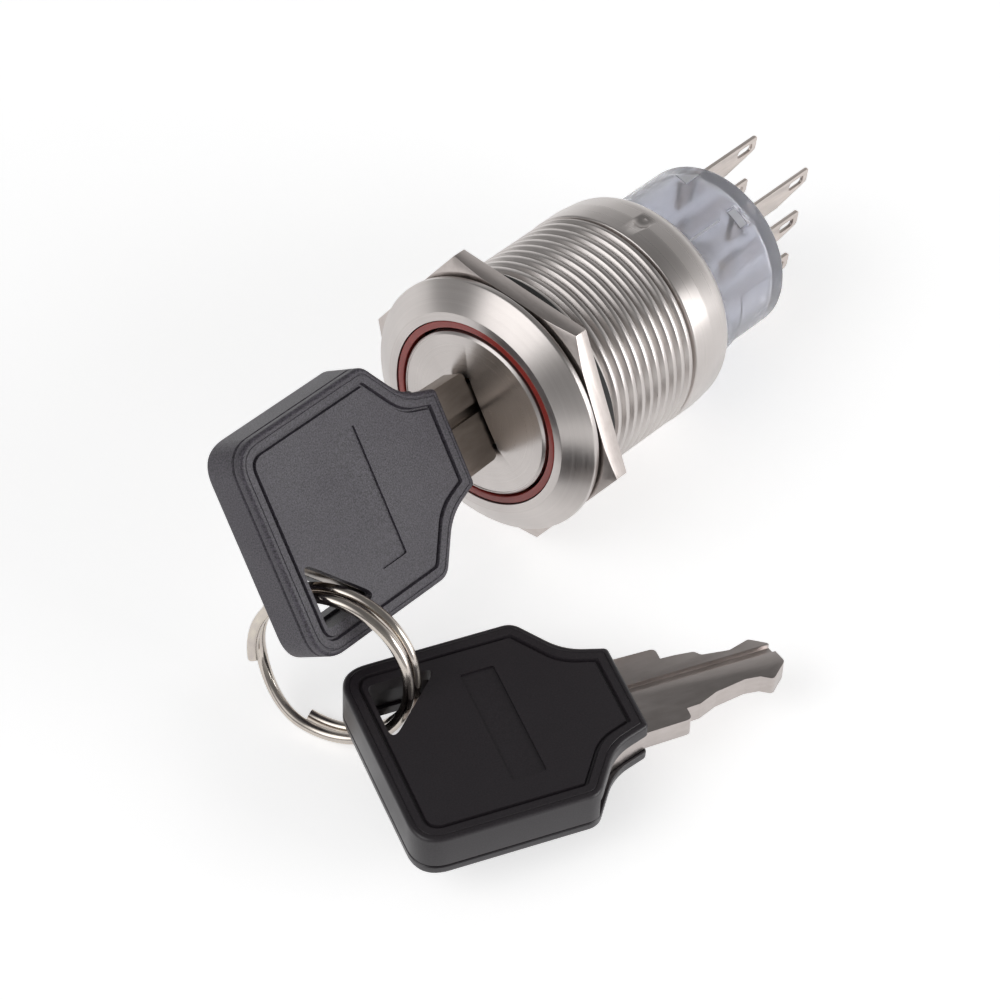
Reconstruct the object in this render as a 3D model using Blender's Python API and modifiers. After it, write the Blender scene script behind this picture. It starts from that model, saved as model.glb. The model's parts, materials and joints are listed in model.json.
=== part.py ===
import math

import bmesh
import bpy
from mathutils import Matrix, Vector

MM = 0.001

# Seating and running clearances
SEAT_GAP = 0.3 * MM
PLUG_GAP = 0.08 * MM
KEY_SEAT_GAP = 0.1 * MM
KEYWAY_END_GAP = 0.45 * MM
KEYWAY_SIDE_GAP = 0.2 * MM
NUT_BORE_GAP = 0.25 * MM
POCKET_GAP = 0.15 * MM
SHELL_GAP = 0.1 * MM

# How finely rounds are drawn, and how far a cutter runs past what it cuts
TURNED_STEPS = 48
FINE_STEPS = 40
SMALL_STEPS = 12
ROLL_STEPS = 4
FILLET_ANGLE = math.radians(15.0)
FILLET_SHARE = 0.48
EDGE_ANGLE = math.radians(60.0)
MERGE = 0.001 * MM
OVERCUT = 1.0 * MM
THROUGH = 5.0 * MM

# Pose on the table: the axis droops to the rear, the front is propped by the ring
AXIS_DROOP = math.radians(10.5)
KEY_ROLL = math.radians(-51.5)

# Keys: the head's outline runs along x from its end, its width along y
HEAD_WIDTH = 18.2 * MM
HEAD_BODY = 14.6 * MM
NECK_RUN = 2.8 * MM
NECK_TAIL = 3.2 * MM
NECK_BEND = HEAD_BODY + NECK_RUN
HEAD_LENGTH = NECK_BEND + NECK_TAIL
NECK_WIDTH = 8.3 * MM
NECK_FLARE = 2.1 * MM
HEAD_CORNER = 2.6 * MM
SHOULDER_CORNER = 1.6 * MM
NECK_HOLLOW = 7.0 * MM
NECK_CORNER = 0.5 * MM
BLANK_THICK = 1.8 * MM
TOP_SHELL_WEB = 1.35 * MM
BOTTOM_SHELL = 0.85 * MM
SHELL_EDGE = 0.35 * MM
BLANK_MARGIN = 1.7 * MM
BOW_MARGIN = 2.1 * MM
BOW_HALF = HEAD_WIDTH / 2 - BOW_MARGIN
BOW_CORNER = 0.9 * MM
HOLE_X = 1.8 * MM
HOLE_MARGIN = 2.2 * MM
HOLE_Y = HEAD_WIDTH / 2 - HOLE_MARGIN
HOLE_LEG = 5.8 * MM
HOLE_CORNER = 0.3 * MM
BLANK_HOLE_GROW = 0.9 * MM
BLADE_NECK = 3.85 * MM
BLADE_SHOULDER = HEAD_LENGTH + BLADE_NECK
BLADE_SHOULDER_WIDE = 1.1 * MM
BLADE_SHOULDER_FILLET = 0.5 * MM
BLADE_ROOT_HALF = 2.65 * MM
BLADE_LENGTH = 8.95 * MM
BLADE_TIP = BLADE_SHOULDER + BLADE_LENGTH
CUT_FILLET = 0.4 * MM
GROOVE_Y = 0.65 * MM
GROOVE_WIDTH = 0.8 * MM
GROOVE_DEPTH = 0.45 * MM

# Cuts of the blade as shares of its length and of its half width, one edge out and the other back
BLADE_CUTS_OUT = ((0.128, 0.981), (0.307, 0.736), (0.598, 0.585), (0.732, 0.642), (0.832, 0.868), (1.0, 0.34))
BLADE_CUTS_BACK = ((0.944, 0.453), (0.8, 0.79), (0.6, 0.6), (0.35, 0.72), (0.307, 0.906), (0.128, 0.98))

# Lock: wafers, plug, sleeve and face disc; stations are measured to the rear from the rim's front edge
FACE_FRONT = 1.65 * MM
FACE_BEVEL = 0.25 * MM
FACE_BACK = SEAT_GAP
KEYWAY_SPARE = 1.6 * MM
KEYWAY_DEPTH = BLADE_LENGTH - FACE_FRONT - KEY_SEAT_GAP + KEYWAY_SPARE
WAFER_COUNT = 5
WAFER_FIRST = 1.4 * MM
WAFER_END_SPACE = 1.8 * MM
WAFER_PITCH = (KEYWAY_DEPTH - WAFER_FIRST - WAFER_END_SPACE) / (WAFER_COUNT - 1)
WAFER_THICK = 0.5 * MM
WAFER_SLOT_GAP = 0.2 * MM
WAFER_WINDOW_END_GAP = 0.6 * MM
WAFER_WINDOW_SIDE_GAP = 0.35 * MM
WAFER_WINDOW_HALF = BLADE_ROOT_HALF + WAFER_WINDOW_END_GAP
WAFER_WINDOW_SIDE = BLANK_THICK / 2 + WAFER_WINDOW_SIDE_GAP
WAFER_END_RIM = 0.55 * MM
WAFER_SIDE_RIM = 1.35 * MM
WAFER_HALF = WAFER_WINDOW_HALF + WAFER_END_RIM
WAFER_SIDE = WAFER_WINDOW_SIDE + WAFER_SIDE_RIM
PLUG_RIM = 0.2 * MM
PLUG_RADIUS = math.hypot(WAFER_HALF, WAFER_SIDE) + PLUG_RIM
PLUG_BACK = 2.2 * MM
PLUG_END = KEYWAY_DEPTH + PLUG_BACK
SLEEVE_BORE = PLUG_RADIUS + PLUG_GAP
SLEEVE_WALL = 2.216 * MM
SLEEVE_RADIUS = SLEEVE_BORE + SLEEVE_WALL
SLEEVE_FRONT = 0.6 * MM
SLEEVE_OVERHANG = 1.5 * MM
SLEEVE_END = PLUG_END + SLEEVE_OVERHANG
SLEEVE_FLANGE_THICK = 1.2 * MM
FACE_RADIUS = SLEEVE_RADIUS

# Ring light round the disc, and the housing's bore round the ring light
LIGHT_INNER = FACE_RADIUS + SEAT_GAP
LIGHT_WIDTH = 0.6 * MM
LIGHT_OUTER = LIGHT_INNER + LIGHT_WIDTH
BARREL_BORE = LIGHT_OUTER + SEAT_GAP
SLEEVE_FLANGE_RADIUS = LIGHT_OUTER
LIGHT_BACK = 2.4 * MM
BOARD_SPACE = 1.2 * MM
BOARD_FRONT = LIGHT_BACK + BOARD_SPACE
BOARD_THICK = 0.8 * MM
LED_LENGTH = 1.2 * MM
LED_HEIGHT = 0.5 * MM
LED_WIDTH = 0.5 * MM

# Cam on the plug's end, cover, plunger and contacts
CAM_FRONT = PLUG_END + SEAT_GAP
CAM_THICK = 1.7 * MM
CAM_BASE = CAM_FRONT + CAM_THICK
CAM_RIM = 0.4 * MM
CAM_RADIUS = PLUG_RADIUS - CAM_RIM
CAM_BORE = 1.3 * MM
CAM_LIFT = 2.0 * MM
CAM_RAMP = math.radians(120.0)
CAM_DWELL = math.radians(30.0)
CAM_STEPS = 48
COVER_SPACE = 1.0 * MM
COVER_FRONT = CAM_BASE + CAM_LIFT + COVER_SPACE
COVER_THICK = 0.8 * MM
COVER_RADIUS = LIGHT_OUTER
COVER_BORE_GAP = 0.5 * MM
COVER_BORE = CAM_RADIUS + COVER_BORE_GAP
FOLLOWER_RADIUS = 0.6 * MM
FOLLOWER_INSET = 1.2 * MM
FOLLOWER_CIRCLE = CAM_RADIUS - FOLLOWER_INSET
FOLLOWER_LEAD = math.radians(12.0)

# Contact block
BLOCK_SIDE_SPACE = 0.85 * MM
BLOCK_RADIUS = BARREL_BORE - BLOCK_SIDE_SPACE
BLOCK_FRONT = COVER_FRONT + COVER_THICK + SEAT_GAP
BLOCK_LENGTH = 12.0 * MM
BLOCK_END = BLOCK_FRONT + BLOCK_LENGTH
BLOCK_WALL = 0.65 * MM
BLOCK_INNER = BLOCK_RADIUS - BLOCK_WALL
BLOCK_FLOOR = 0.9 * MM
BLOCK_EDGE = 0.35 * MM

# Housing: bezel, threaded barrel that comes to 19 mm across, and a skirt rolled over the block
BARREL_WALL = 1.15 * MM
BARREL_RADIUS = BARREL_BORE + BARREL_WALL
BEZEL_OVER = 1.55 * MM
BEZEL_RADIUS = BARREL_RADIUS + BEZEL_OVER
BEZEL_RISE = 1.45 * MM
BEZEL_LAND = 0.5 * MM
FLANGE_BACK = 0.5 * MM
THREAD_LEAD = 1.5 * MM
THREAD_START = FLANGE_BACK + THREAD_LEAD
THREAD_PITCH = 1.0 * MM
THREAD_DEPTH = 0.5 * MM
THREAD_RELIEF = 0.35 * MM
NECK_DEPTH = 0.6 * MM
SKIRT_AHEAD = 2.4 * MM
SKIRT_FRONT = BLOCK_FRONT - SKIRT_AHEAD
THREAD_STOP = SKIRT_FRONT - THREAD_RELIEF
THREAD_LENGTH = THREAD_STOP - THREAD_START
SKIRT_STEP = 0.05 * MM
SKIRT_RADIUS = BARREL_RADIUS + SKIRT_STEP
SKIRT_STRAIGHT = 2.3 * MM
SKIRT_SHOULDER = SKIRT_FRONT + SKIRT_STRAIGHT
SKIRT_ROLL = 3.2 * MM
SKIRT_END = SKIRT_SHOULDER + SKIRT_ROLL
SKIRT_LIP_BORE = BLOCK_RADIUS + SEAT_GAP
SKIRT_LIP_WALL = 0.55 * MM
SKIRT_LIP_LENGTH = 1.0 * MM
CRIMP_RADIUS = 0.75 * MM
CRIMP_DEPTH = 0.35 * MM
CRIMP_BEHIND = 2.3 * MM

# Panel nut and its rubber ring
NUT_BORE = BARREL_RADIUS + NUT_BORE_GAP
NUT_WALL = 1.05 * MM
NUT_FLATS = 2 * (NUT_BORE + NUT_WALL)
NUT_FRONT = FLANGE_BACK + SEAT_GAP
NUT_THICK = 1.6 * MM
NUT_BACK = NUT_FRONT + NUT_THICK
NUT_CHAMFER_FALL = 1.1 * MM
NUT_CHAMFER_OVER = 0.25 * MM
NUT_CHAMFER_RADIUS = NUT_FLATS / 2 + NUT_CHAMFER_OVER
NUT_OVERCUT = 0.08 * MM
SEAL_FRONT = NUT_BACK + SEAT_GAP
SEAL_WIDTH = 0.4 * MM
SEAL_RADIUS = NUT_BORE + SEAL_WIDTH
SEAL_THICK = 0.95 * MM
SEAL_EDGE = 0.24 * MM

# Plunger, contact bridge and return spring inside the block
PLUNGER_SPACE = 0.9 * MM
PLUNGER_FRONT = BLOCK_FRONT + PLUNGER_SPACE
PLUNGER_THICK = 1.4 * MM
PLUNGER_WALL_GAP = 1.2 * MM
PLUNGER_RADIUS = BLOCK_INNER - PLUNGER_WALL_GAP
STEM_RADIUS = 1.5 * MM
STEM_LENGTH = 3.5 * MM
STEM_END = PLUNGER_FRONT + PLUNGER_THICK + STEM_LENGTH
BRIDGE_FRONT = STEM_END + SEAT_GAP
BRIDGE_THICK = 0.4 * MM
BRIDGE_LENGTH = 9.4 * MM
BRIDGE_WIDTH = 2.6 * MM
SPRING_RADIUS = 1.15 * MM
SPRING_WIRE = 0.16 * MM
SPRING_TURNS = 4
SPRING_STEPS = 10

# Solder tabs: upright blades in two columns, places as shares of the block's inner radius
TAB_WIDTH = 2.3 * MM
TAB_THICK = 0.3 * MM
TAB_ROOT_THICK = 0.6 * MM
TAB_ROOT_PROUD = 0.15 * MM
TAB_ROOT_LENGTH = 2.5 * MM
TAB_INNER_END = BLOCK_END - TAB_ROOT_LENGTH
TAB_BEYOND = 7.9 * MM
TAB_LENGTH = TAB_ROOT_LENGTH + TAB_BEYOND
TAB_TAPER = 3.6 * MM
TAB_TIP_WIDTH = 1.4 * MM
TAB_TIP_CORNER = 0.3 * MM
TAB_HOLE_WIDTH = 0.8 * MM
TAB_HOLE_LENGTH = 1.9 * MM
TAB_HOLE_MARGIN = 0.6 * MM
TAB_HOLE_CORNER = 0.36 * MM
TAB_HOLE_EDGE = 0.45 * MM
TAB_PLACES = (
    (-0.419, 0.699),
    (-0.419, 0.022),
    (0.375, 0.699),
    (0.375, 0.022),
    (0.375, -0.662),
    (-0.419, -0.662),
)

# Split ring, placed from the corner of the key's hole along the key's own axes
RING_ALONG = 2.159 * MM
RING_ACROSS = 3.985 * MM
RING_OVER = 2.103 * MM
RING_NORMAL = Vector((-0.9553, 0.1192, -0.2705))
RING_RADIUS = 6.55 * MM
RING_WIRE = 0.42 * MM
RING_PITCH = 1.28 * MM
RING_STEPS = 48
RING_JOG = math.radians(60.0)
RING_START = math.radians(255.0)

# Spare key, hung with the corner of its hole beside the ring's centre
SPARE_HEADING = math.radians(62.3)
SPARE_PITCH = math.radians(1.8)
SPARE_ROLL = math.radians(3.0)
SPARE_HOLE_RIGHT = 3.35 * MM
SPARE_HOLE_AHEAD = 0.055 * MM
SPARE_HOLE_BELOW = 2.257 * MM


def clear_scene():
    for item in list(bpy.data.objects):
        bpy.data.objects.remove(item, do_unlink=True)


def collection(name):
    group = bpy.data.collections.new(name)
    bpy.context.scene.collection.children.link(group)
    return group


clear_scene()
PARTS = collection("selector_key_switch")
CUTTERS = collection("cutters")


def finish(name, color, rough, metal, alpha=1.0):
    mat = bpy.data.materials.new(name)
    mat.use_nodes = True
    shader = mat.node_tree.nodes["Principled BSDF"]
    shader.inputs["Base Color"].default_value = (*color, 1.0)
    shader.inputs["Roughness"].default_value = rough
    shader.inputs["Metallic"].default_value = metal
    shader.inputs["Alpha"].default_value = alpha
    return mat


STEEL = finish("turned_steel", (0.62, 0.6, 0.57), 0.3, 1.0)
NICKEL = finish("nickel_plate", (0.58, 0.55, 0.51), 0.25, 1.0)
BRASS = finish("brass", (0.7, 0.52, 0.25), 0.35, 1.0)
RUBBER = finish("black_rubber", (0.02, 0.02, 0.02), 0.8, 0.0)
RED_LENS = finish("red_lens", (0.2, 0.03, 0.03), 0.3, 0.0)
SMOKE = finish("clear_grey_plastic", (0.35, 0.36, 0.4), 0.25, 0.0, 0.6)
BLACK_PLASTIC = finish("black_plastic", (0.03, 0.03, 0.035), 0.5, 0.0)
BOARD = finish("board_green", (0.04, 0.2, 0.1), 0.6, 0.0)
LED_RED = finish("led_red", (0.6, 0.05, 0.04), 0.3, 0.0)


def empty(name, parent=None):
    pivot = bpy.data.objects.new(name, None)
    PARTS.objects.link(pivot)
    pivot.parent = parent
    return pivot


def place(obj, parent, mat=None, group=None):
    (group or PARTS).objects.link(obj)
    obj.parent = parent
    if mat:
        obj.data.materials.append(mat)
    return obj


def mesh_object(name, bm):
    mesh = bpy.data.meshes.new(name)
    bm.normal_update()
    bm.to_mesh(mesh)
    bm.free()
    return bpy.data.objects.new(name, mesh)


def turned(name, profile, parent, mat=None, steps=TURNED_STEPS, group=None):
    """A profile of (radius, station) swept about the axis; one that leaves the axis closes on itself."""
    bm = bmesh.new()
    verts = [bm.verts.new((radius, 0.0, -station)) for radius, station in profile]
    for first, second in zip(verts, verts[1:]):
        bm.edges.new((first, second))
    if profile[0][0] > 0:
        bm.edges.new((verts[-1], verts[0]))
    obj = place(mesh_object(name, bm), parent, mat, group)
    screw = obj.modifiers.new("Turn", "SCREW")
    screw.steps = steps
    screw.render_steps = steps
    screw.use_merge_vertices = True
    screw.merge_threshold = MERGE
    screw.use_smooth_shade = True
    return obj


def tube_profile(inner, outer, front, back):
    return [(inner, front), (outer, front), (outer, back), (inner, back)]


def box(name, low, high, parent, mat=None, group=None):
    low = Vector(low)
    high = Vector(high)
    bm = bmesh.new()
    middle = (low + high) / 2
    size = high - low
    scale = Matrix.Diagonal((size.x, size.y, size.z, 1.0))
    bmesh.ops.create_cube(bm, size=1.0, matrix=Matrix.Translation(middle) @ scale)
    return place(mesh_object(name, bm), parent, mat, group)


def rounded(corners):
    """Outline from (x, y, fillet) corners, each fillet an arc."""
    points = []
    count = len(corners)
    for index, (x, y, radius) in enumerate(corners):
        here = Vector((x, y))
        before = Vector(corners[index - 1][:2]) - here
        after = Vector(corners[(index + 1) % count][:2]) - here
        if radius <= 0:
            points.append(here)
            continue
        turn = before.angle(after)
        reach = min(radius / math.tan(turn / 2), FILLET_SHARE * before.length, FILLET_SHARE * after.length)
        start = here + before.normalized() * reach
        end = here + after.normalized() * reach
        steps = max(2, int((math.pi - turn) / FILLET_ANGLE))
        for step in range(steps + 1):
            t = step / steps
            points.append((1 - t) ** 2 * start + 2 * t * (1 - t) * here + t ** 2 * end)
    return points


def plate(name, outline, bottom, top, parent, mat=None, group=None):
    """A flat outline raised from bottom to top along z."""
    curve = bpy.data.curves.new(name, "CURVE")
    curve.dimensions = "2D"
    curve.fill_mode = "BOTH"
    curve.extrude = (top - bottom) / 2
    spline = curve.splines.new("POLY")
    spline.points.add(len(outline) - 1)
    for point, xy in zip(spline.points, outline):
        point.co = (xy[0], xy[1], 0.0, 1.0)
    spline.use_cyclic_u = True
    drawn = bpy.data.objects.new(name + "_outline", curve)
    bpy.context.scene.collection.objects.link(drawn)
    bpy.context.view_layer.update()
    evaluated = drawn.evaluated_get(bpy.context.evaluated_depsgraph_get())
    mesh = bpy.data.meshes.new_from_object(evaluated)
    bm = bmesh.new()
    bm.from_mesh(mesh)
    bmesh.ops.remove_doubles(bm, verts=bm.verts, dist=MERGE)
    bmesh.ops.recalc_face_normals(bm, faces=bm.faces)
    bmesh.ops.translate(bm, verts=bm.verts, vec=(0, 0, (top + bottom) / 2))
    bm.to_mesh(mesh)
    bm.free()
    mesh.name = name
    bpy.data.objects.remove(drawn, do_unlink=True)
    return place(bpy.data.objects.new(name, mesh), parent, mat, group)


def modify(obj, tool, operation):
    step = obj.modifiers.new(operation.title(), "BOOLEAN")
    step.operation = operation
    step.object = tool
    step.solver = "EXACT"
    tool.hide_render = True
    tool.display_type = "WIRE"


def cut(obj, tool):
    modify(obj, tool, "DIFFERENCE")


def wire(name, points, radius, parent, mat):
    curve = bpy.data.curves.new(name, "CURVE")
    curve.dimensions = "3D"
    curve.bevel_depth = radius
    curve.bevel_resolution = 1
    curve.use_fill_caps = True
    spline = curve.splines.new("POLY")
    spline.points.add(len(points) - 1)
    for point, xyz in zip(spline.points, points):
        point.co = (*xyz, 1.0)
    return place(bpy.data.objects.new(name, curve), parent, mat)


def axes(first, second):
    return Matrix((first, second, first.cross(second))).transposed().to_4x4()


def least_gap(points, radius, skip):
    """Smallest clear space between stretches of a wound wire."""
    gaps = [
        (points[i] - points[j]).length - 2 * radius
        for i in range(len(points))
        for j in range(i + skip, len(points))
    ]
    return min(gaps)


def screw_points(radius, pitch, turns, per_turn, bottom):
    count = int(turns * per_turn)
    return [
        Vector((
            radius * math.cos(2 * math.pi * i / per_turn),
            radius * math.sin(2 * math.pi * i / per_turn),
            bottom + pitch * i / per_turn,
        ))
        for i in range(count + 1)
    ]


# The stand moves the finished part over its origin; the axis empty points its z out of the lock
STAND = empty("stand")
AXIS = empty("switch_axis", STAND)
AXIS.rotation_euler = (math.pi / 2 - AXIS_DROOP, 0, 0)
KEY_AXIS = empty("key_axis", AXIS)
KEY_AXIS.rotation_euler = (0, 0, KEY_ROLL)


def thread_rings():
    """Rows of a single-start thread, each row climbing one pitch in a turn, crests and roots by turns."""
    rings = []
    for row in range(-2, 2 * math.ceil(THREAD_LENGTH / THREAD_PITCH) + 1):
        ring = []
        for step in range(TURNED_STEPS + 1):
            share = step / TURNED_STEPS
            climb = min(max((row / 2 + share) * THREAD_PITCH, 0.0), THREAD_LENGTH)
            phase = (climb / THREAD_PITCH - share) % 1.0
            depth = THREAD_DEPTH * (1 - abs(1 - 2 * phase))
            ring.append((BARREL_RADIUS - depth, THREAD_START + climb))
        rings.append(ring)
    return rings


def housing_rings():
    land_outer = BARREL_BORE + BEZEL_LAND
    neck = BARREL_RADIUS - NECK_DEPTH
    front = [
        (BARREL_BORE, -BEZEL_RISE),
        (land_outer, -BEZEL_RISE),
        (BEZEL_RADIUS, 0.0),
        (BEZEL_RADIUS, FLANGE_BACK),
        (neck, FLANGE_BACK),
        (neck, THREAD_START),
    ]
    rear = [
        (neck, THREAD_STOP),
        (neck, SKIRT_FRONT),
        (SKIRT_RADIUS, SKIRT_FRONT),
        (SKIRT_RADIUS, SKIRT_SHOULDER),
    ]
    drop = SKIRT_RADIUS - SKIRT_LIP_BORE - SKIRT_LIP_WALL
    for step in range(1, ROLL_STEPS + 1):
        turn = math.pi / 2 * step / ROLL_STEPS
        station = SKIRT_SHOULDER + SKIRT_ROLL * math.sin(turn)
        rear.append((SKIRT_RADIUS - drop * (1 - math.cos(turn)), station))
    rear += [
        (SKIRT_LIP_BORE, SKIRT_END),
        (SKIRT_LIP_BORE, SKIRT_END - SKIRT_LIP_LENGTH),
        (BARREL_BORE, SKIRT_END - SKIRT_LIP_LENGTH),
    ]
    plain = TURNED_STEPS + 1
    return [[point] * plain for point in front] + thread_rings() + [[point] * plain for point in rear]


def build_housing():
    bm = bmesh.new()
    rings = []
    for ring in housing_rings():
        verts = []
        for step, (radius, station) in enumerate(ring):
            turn = 2 * math.pi * step / TURNED_STEPS
            verts.append(bm.verts.new((radius * math.cos(turn), radius * math.sin(turn), -station)))
        rings.append(verts)
    for ring, following in zip(rings, rings[1:] + rings[:1]):
        for step in range(TURNED_STEPS):
            bm.faces.new((ring[step], following[step], following[step + 1], ring[step + 1]))
    bmesh.ops.remove_doubles(bm, verts=bm.verts, dist=MERGE)
    bmesh.ops.triangulate(bm, faces=bm.faces)
    bmesh.ops.recalc_face_normals(bm, faces=bm.faces)
    housing = place(mesh_object("bezel_housing", bm), AXIS, STEEL)
    dimple = turned("crimp_cutter", [
        (0, -CRIMP_RADIUS),
        (CRIMP_RADIUS, 0),
        (0, CRIMP_RADIUS),
    ], AXIS, None, SMALL_STEPS, CUTTERS)
    dimple.location = (0, SKIRT_RADIUS - CRIMP_DEPTH + CRIMP_RADIUS, -SKIRT_FRONT - CRIMP_BEHIND)
    cut(housing, dimple)


def build_light():
    turned("light_ring", tube_profile(LIGHT_INNER, LIGHT_OUTER, -BEZEL_RISE, LIGHT_BACK), AXIS, RED_LENS)
    board = tube_profile(LIGHT_INNER, LIGHT_OUTER, BOARD_FRONT, BOARD_FRONT + BOARD_THICK)
    turned("led_board", board, AXIS, BOARD)
    middle = (LIGHT_INNER + LIGHT_OUTER) / 2
    for number, side in ((1, -1), (2, 1)):
        low = (side * middle - LED_WIDTH / 2, -LED_LENGTH / 2, -(BOARD_FRONT - SEAT_GAP))
        high = (side * middle + LED_WIDTH / 2, LED_LENGTH / 2, -(BOARD_FRONT - SEAT_GAP - LED_HEIGHT))
        box("led_%d" % number, low, high, AXIS, LED_RED)


def build_nut():
    corner = NUT_FLATS / 2 / math.cos(math.pi / 6)
    hexagon = [(corner * math.cos(math.pi / 3 * k), corner * math.sin(math.pi / 3 * k)) for k in range(6)]
    nut = plate("hex_nut", hexagon, -NUT_BACK, -NUT_FRONT, AXIS, NICKEL)
    outside = 2 * corner - NUT_CHAMFER_RADIUS
    envelope = turned("nut_envelope", [
        (NUT_BORE, NUT_FRONT - NUT_OVERCUT),
        (NUT_CHAMFER_RADIUS, NUT_FRONT - NUT_OVERCUT),
        (outside, NUT_FRONT + NUT_CHAMFER_FALL),
        (outside, NUT_BACK + NUT_OVERCUT),
        (NUT_BORE, NUT_BACK + NUT_OVERCUT),
    ], AXIS, None, TURNED_STEPS, CUTTERS)
    modify(nut, envelope, "INTERSECT")
    back = SEAL_FRONT + SEAL_THICK
    turned("sealing_ring", [
        (NUT_BORE, SEAL_FRONT),
        (SEAL_RADIUS - SEAL_EDGE, SEAL_FRONT),
        (SEAL_RADIUS, SEAL_FRONT + SEAL_EDGE),
        (SEAL_RADIUS, back - SEAL_EDGE),
        (SEAL_RADIUS - SEAL_EDGE, back),
        (NUT_BORE, back),
    ], AXIS, RUBBER, FINE_STEPS)


def keyway(name, front, depth):
    half = BLADE_ROOT_HALF + KEYWAY_END_GAP
    thick = BLANK_THICK / 2 + KEYWAY_SIDE_GAP
    return box(name, (-half, -thick, -depth), (half, thick, -front), KEY_AXIS, None, CUTTERS)


def build_lock():
    face = turned("rotor_face", [
        (0, -FACE_FRONT),
        (FACE_RADIUS - FACE_BEVEL, -FACE_FRONT),
        (FACE_RADIUS, -FACE_FRONT + FACE_BEVEL),
        (FACE_RADIUS, -FACE_BACK),
        (0, -FACE_BACK),
    ], KEY_AXIS, STEEL)
    cut(face, keyway("face_keyway", -FACE_FRONT - OVERCUT, OVERCUT))
    plug = turned("lock_plug", [
        (0, 0),
        (PLUG_RADIUS, 0),
        (PLUG_RADIUS, PLUG_END),
        (0, PLUG_END),
    ], KEY_AXIS, BRASS, FINE_STEPS)
    cut(plug, keyway("plug_keyway", -OVERCUT, KEYWAY_DEPTH))
    turned("lock_sleeve", [
        (SLEEVE_BORE, SLEEVE_FRONT),
        (SLEEVE_RADIUS, SLEEVE_FRONT),
        (SLEEVE_RADIUS, SLEEVE_END - SLEEVE_FLANGE_THICK),
        (SLEEVE_FLANGE_RADIUS, SLEEVE_END - SLEEVE_FLANGE_THICK),
        (SLEEVE_FLANGE_RADIUS, SLEEVE_END),
        (SLEEVE_BORE, SLEEVE_END),
    ], AXIS, BRASS, FINE_STEPS)
    for number in range(1, WAFER_COUNT + 1):
        front = WAFER_FIRST + (number - 1) * WAFER_PITCH
        back = front + WAFER_THICK
        low = (-WAFER_HALF, -WAFER_SIDE, -back)
        high = (WAFER_HALF, WAFER_SIDE, -front)
        wafer = box("wafer_%d" % number, low, high, KEY_AXIS, BRASS)
        low = (-WAFER_WINDOW_HALF, -WAFER_WINDOW_SIDE, -back - OVERCUT)
        high = (WAFER_WINDOW_HALF, WAFER_WINDOW_SIDE, -front + OVERCUT)
        cut(wafer, box("wafer_window_%d" % number, low, high, KEY_AXIS, None, CUTTERS))
        half = WAFER_HALF + WAFER_SLOT_GAP
        side = WAFER_SIDE + WAFER_SLOT_GAP
        low = (-half, -side, -back - WAFER_SLOT_GAP)
        high = (half, side, -front + WAFER_SLOT_GAP)
        cut(plug, box("wafer_slot_%d" % number, low, high, KEY_AXIS, None, CUTTERS))


def cam_height(turn):
    """Station of the cam's rear face: two equal ramps, each with a dwell at its top."""
    local = -turn % math.pi
    if local > CAM_RAMP + CAM_DWELL:
        return CAM_BASE
    return CAM_BASE + CAM_LIFT * min(local / CAM_RAMP, 1.0)


def build_cam():
    bm = bmesh.new()
    rings = []
    for step in range(CAM_STEPS):
        turn = 2 * math.pi * step / CAM_STEPS
        back = cam_height(turn)
        side = Vector((math.cos(turn), math.sin(turn), 0))
        section = ((CAM_BORE, CAM_FRONT), (CAM_RADIUS, CAM_FRONT), (CAM_RADIUS, back), (CAM_BORE, back))
        rings.append([bm.verts.new(side * radius + Vector((0, 0, -station))) for radius, station in section])
    for ring, following in zip(rings, rings[1:] + rings[:1]):
        for k in range(4):
            bm.faces.new((ring[k], ring[k - 1], following[k - 1], following[k]))
    bmesh.ops.recalc_face_normals(bm, faces=bm.faces)
    place(mesh_object("drive_cam", bm), KEY_AXIS, BRASS)


def build_contacts():
    cover = tube_profile(COVER_BORE, COVER_RADIUS, COVER_FRONT, COVER_FRONT + COVER_THICK)
    turned("block_cover", cover, AXIS, BLACK_PLASTIC, FINE_STEPS)
    plunger = turned("plunger", [
        (0, PLUNGER_FRONT),
        (PLUNGER_RADIUS, PLUNGER_FRONT),
        (PLUNGER_RADIUS, PLUNGER_FRONT + PLUNGER_THICK),
        (STEM_RADIUS, PLUNGER_FRONT + PLUNGER_THICK),
        (STEM_RADIUS, STEM_END),
        (0, STEM_END),
    ], AXIS, BLACK_PLASTIC, FINE_STEPS)
    for side in (0, 1):
        turn = KEY_ROLL + math.pi * side + FOLLOWER_LEAD
        follower = turned("follower_%d" % side, [
            (0, CAM_BASE + SEAT_GAP),
            (FOLLOWER_RADIUS, CAM_BASE + SEAT_GAP),
            (FOLLOWER_RADIUS, PLUNGER_FRONT + PLUNGER_THICK / 2),
            (0, PLUNGER_FRONT + PLUNGER_THICK / 2),
        ], AXIS, None, SMALL_STEPS, CUTTERS)
        follower.location = (FOLLOWER_CIRCLE * math.cos(turn), FOLLOWER_CIRCLE * math.sin(turn), 0)
        modify(plunger, follower, "UNION")
    low = (-BRIDGE_LENGTH / 2, -BRIDGE_WIDTH / 2, -BRIDGE_FRONT - BRIDGE_THICK)
    high = (BRIDGE_LENGTH / 2, BRIDGE_WIDTH / 2, -BRIDGE_FRONT)
    box("contact_bridge", low, high, AXIS, BRASS)
    spring_front = BRIDGE_FRONT + BRIDGE_THICK + SEAT_GAP + SPRING_WIRE
    spring_back = BLOCK_END - BLOCK_FLOOR - SEAT_GAP - SPRING_WIRE
    pitch = (spring_back - spring_front) / SPRING_TURNS
    coil = screw_points(SPRING_RADIUS, pitch, SPRING_TURNS, SPRING_STEPS, -spring_back)
    wire("return_spring", coil, SPRING_WIRE, AXIS, STEEL)
    print("return_spring least gap mm %.2f" % (least_gap(coil, SPRING_WIRE, SPRING_STEPS // 2) / MM))


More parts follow.
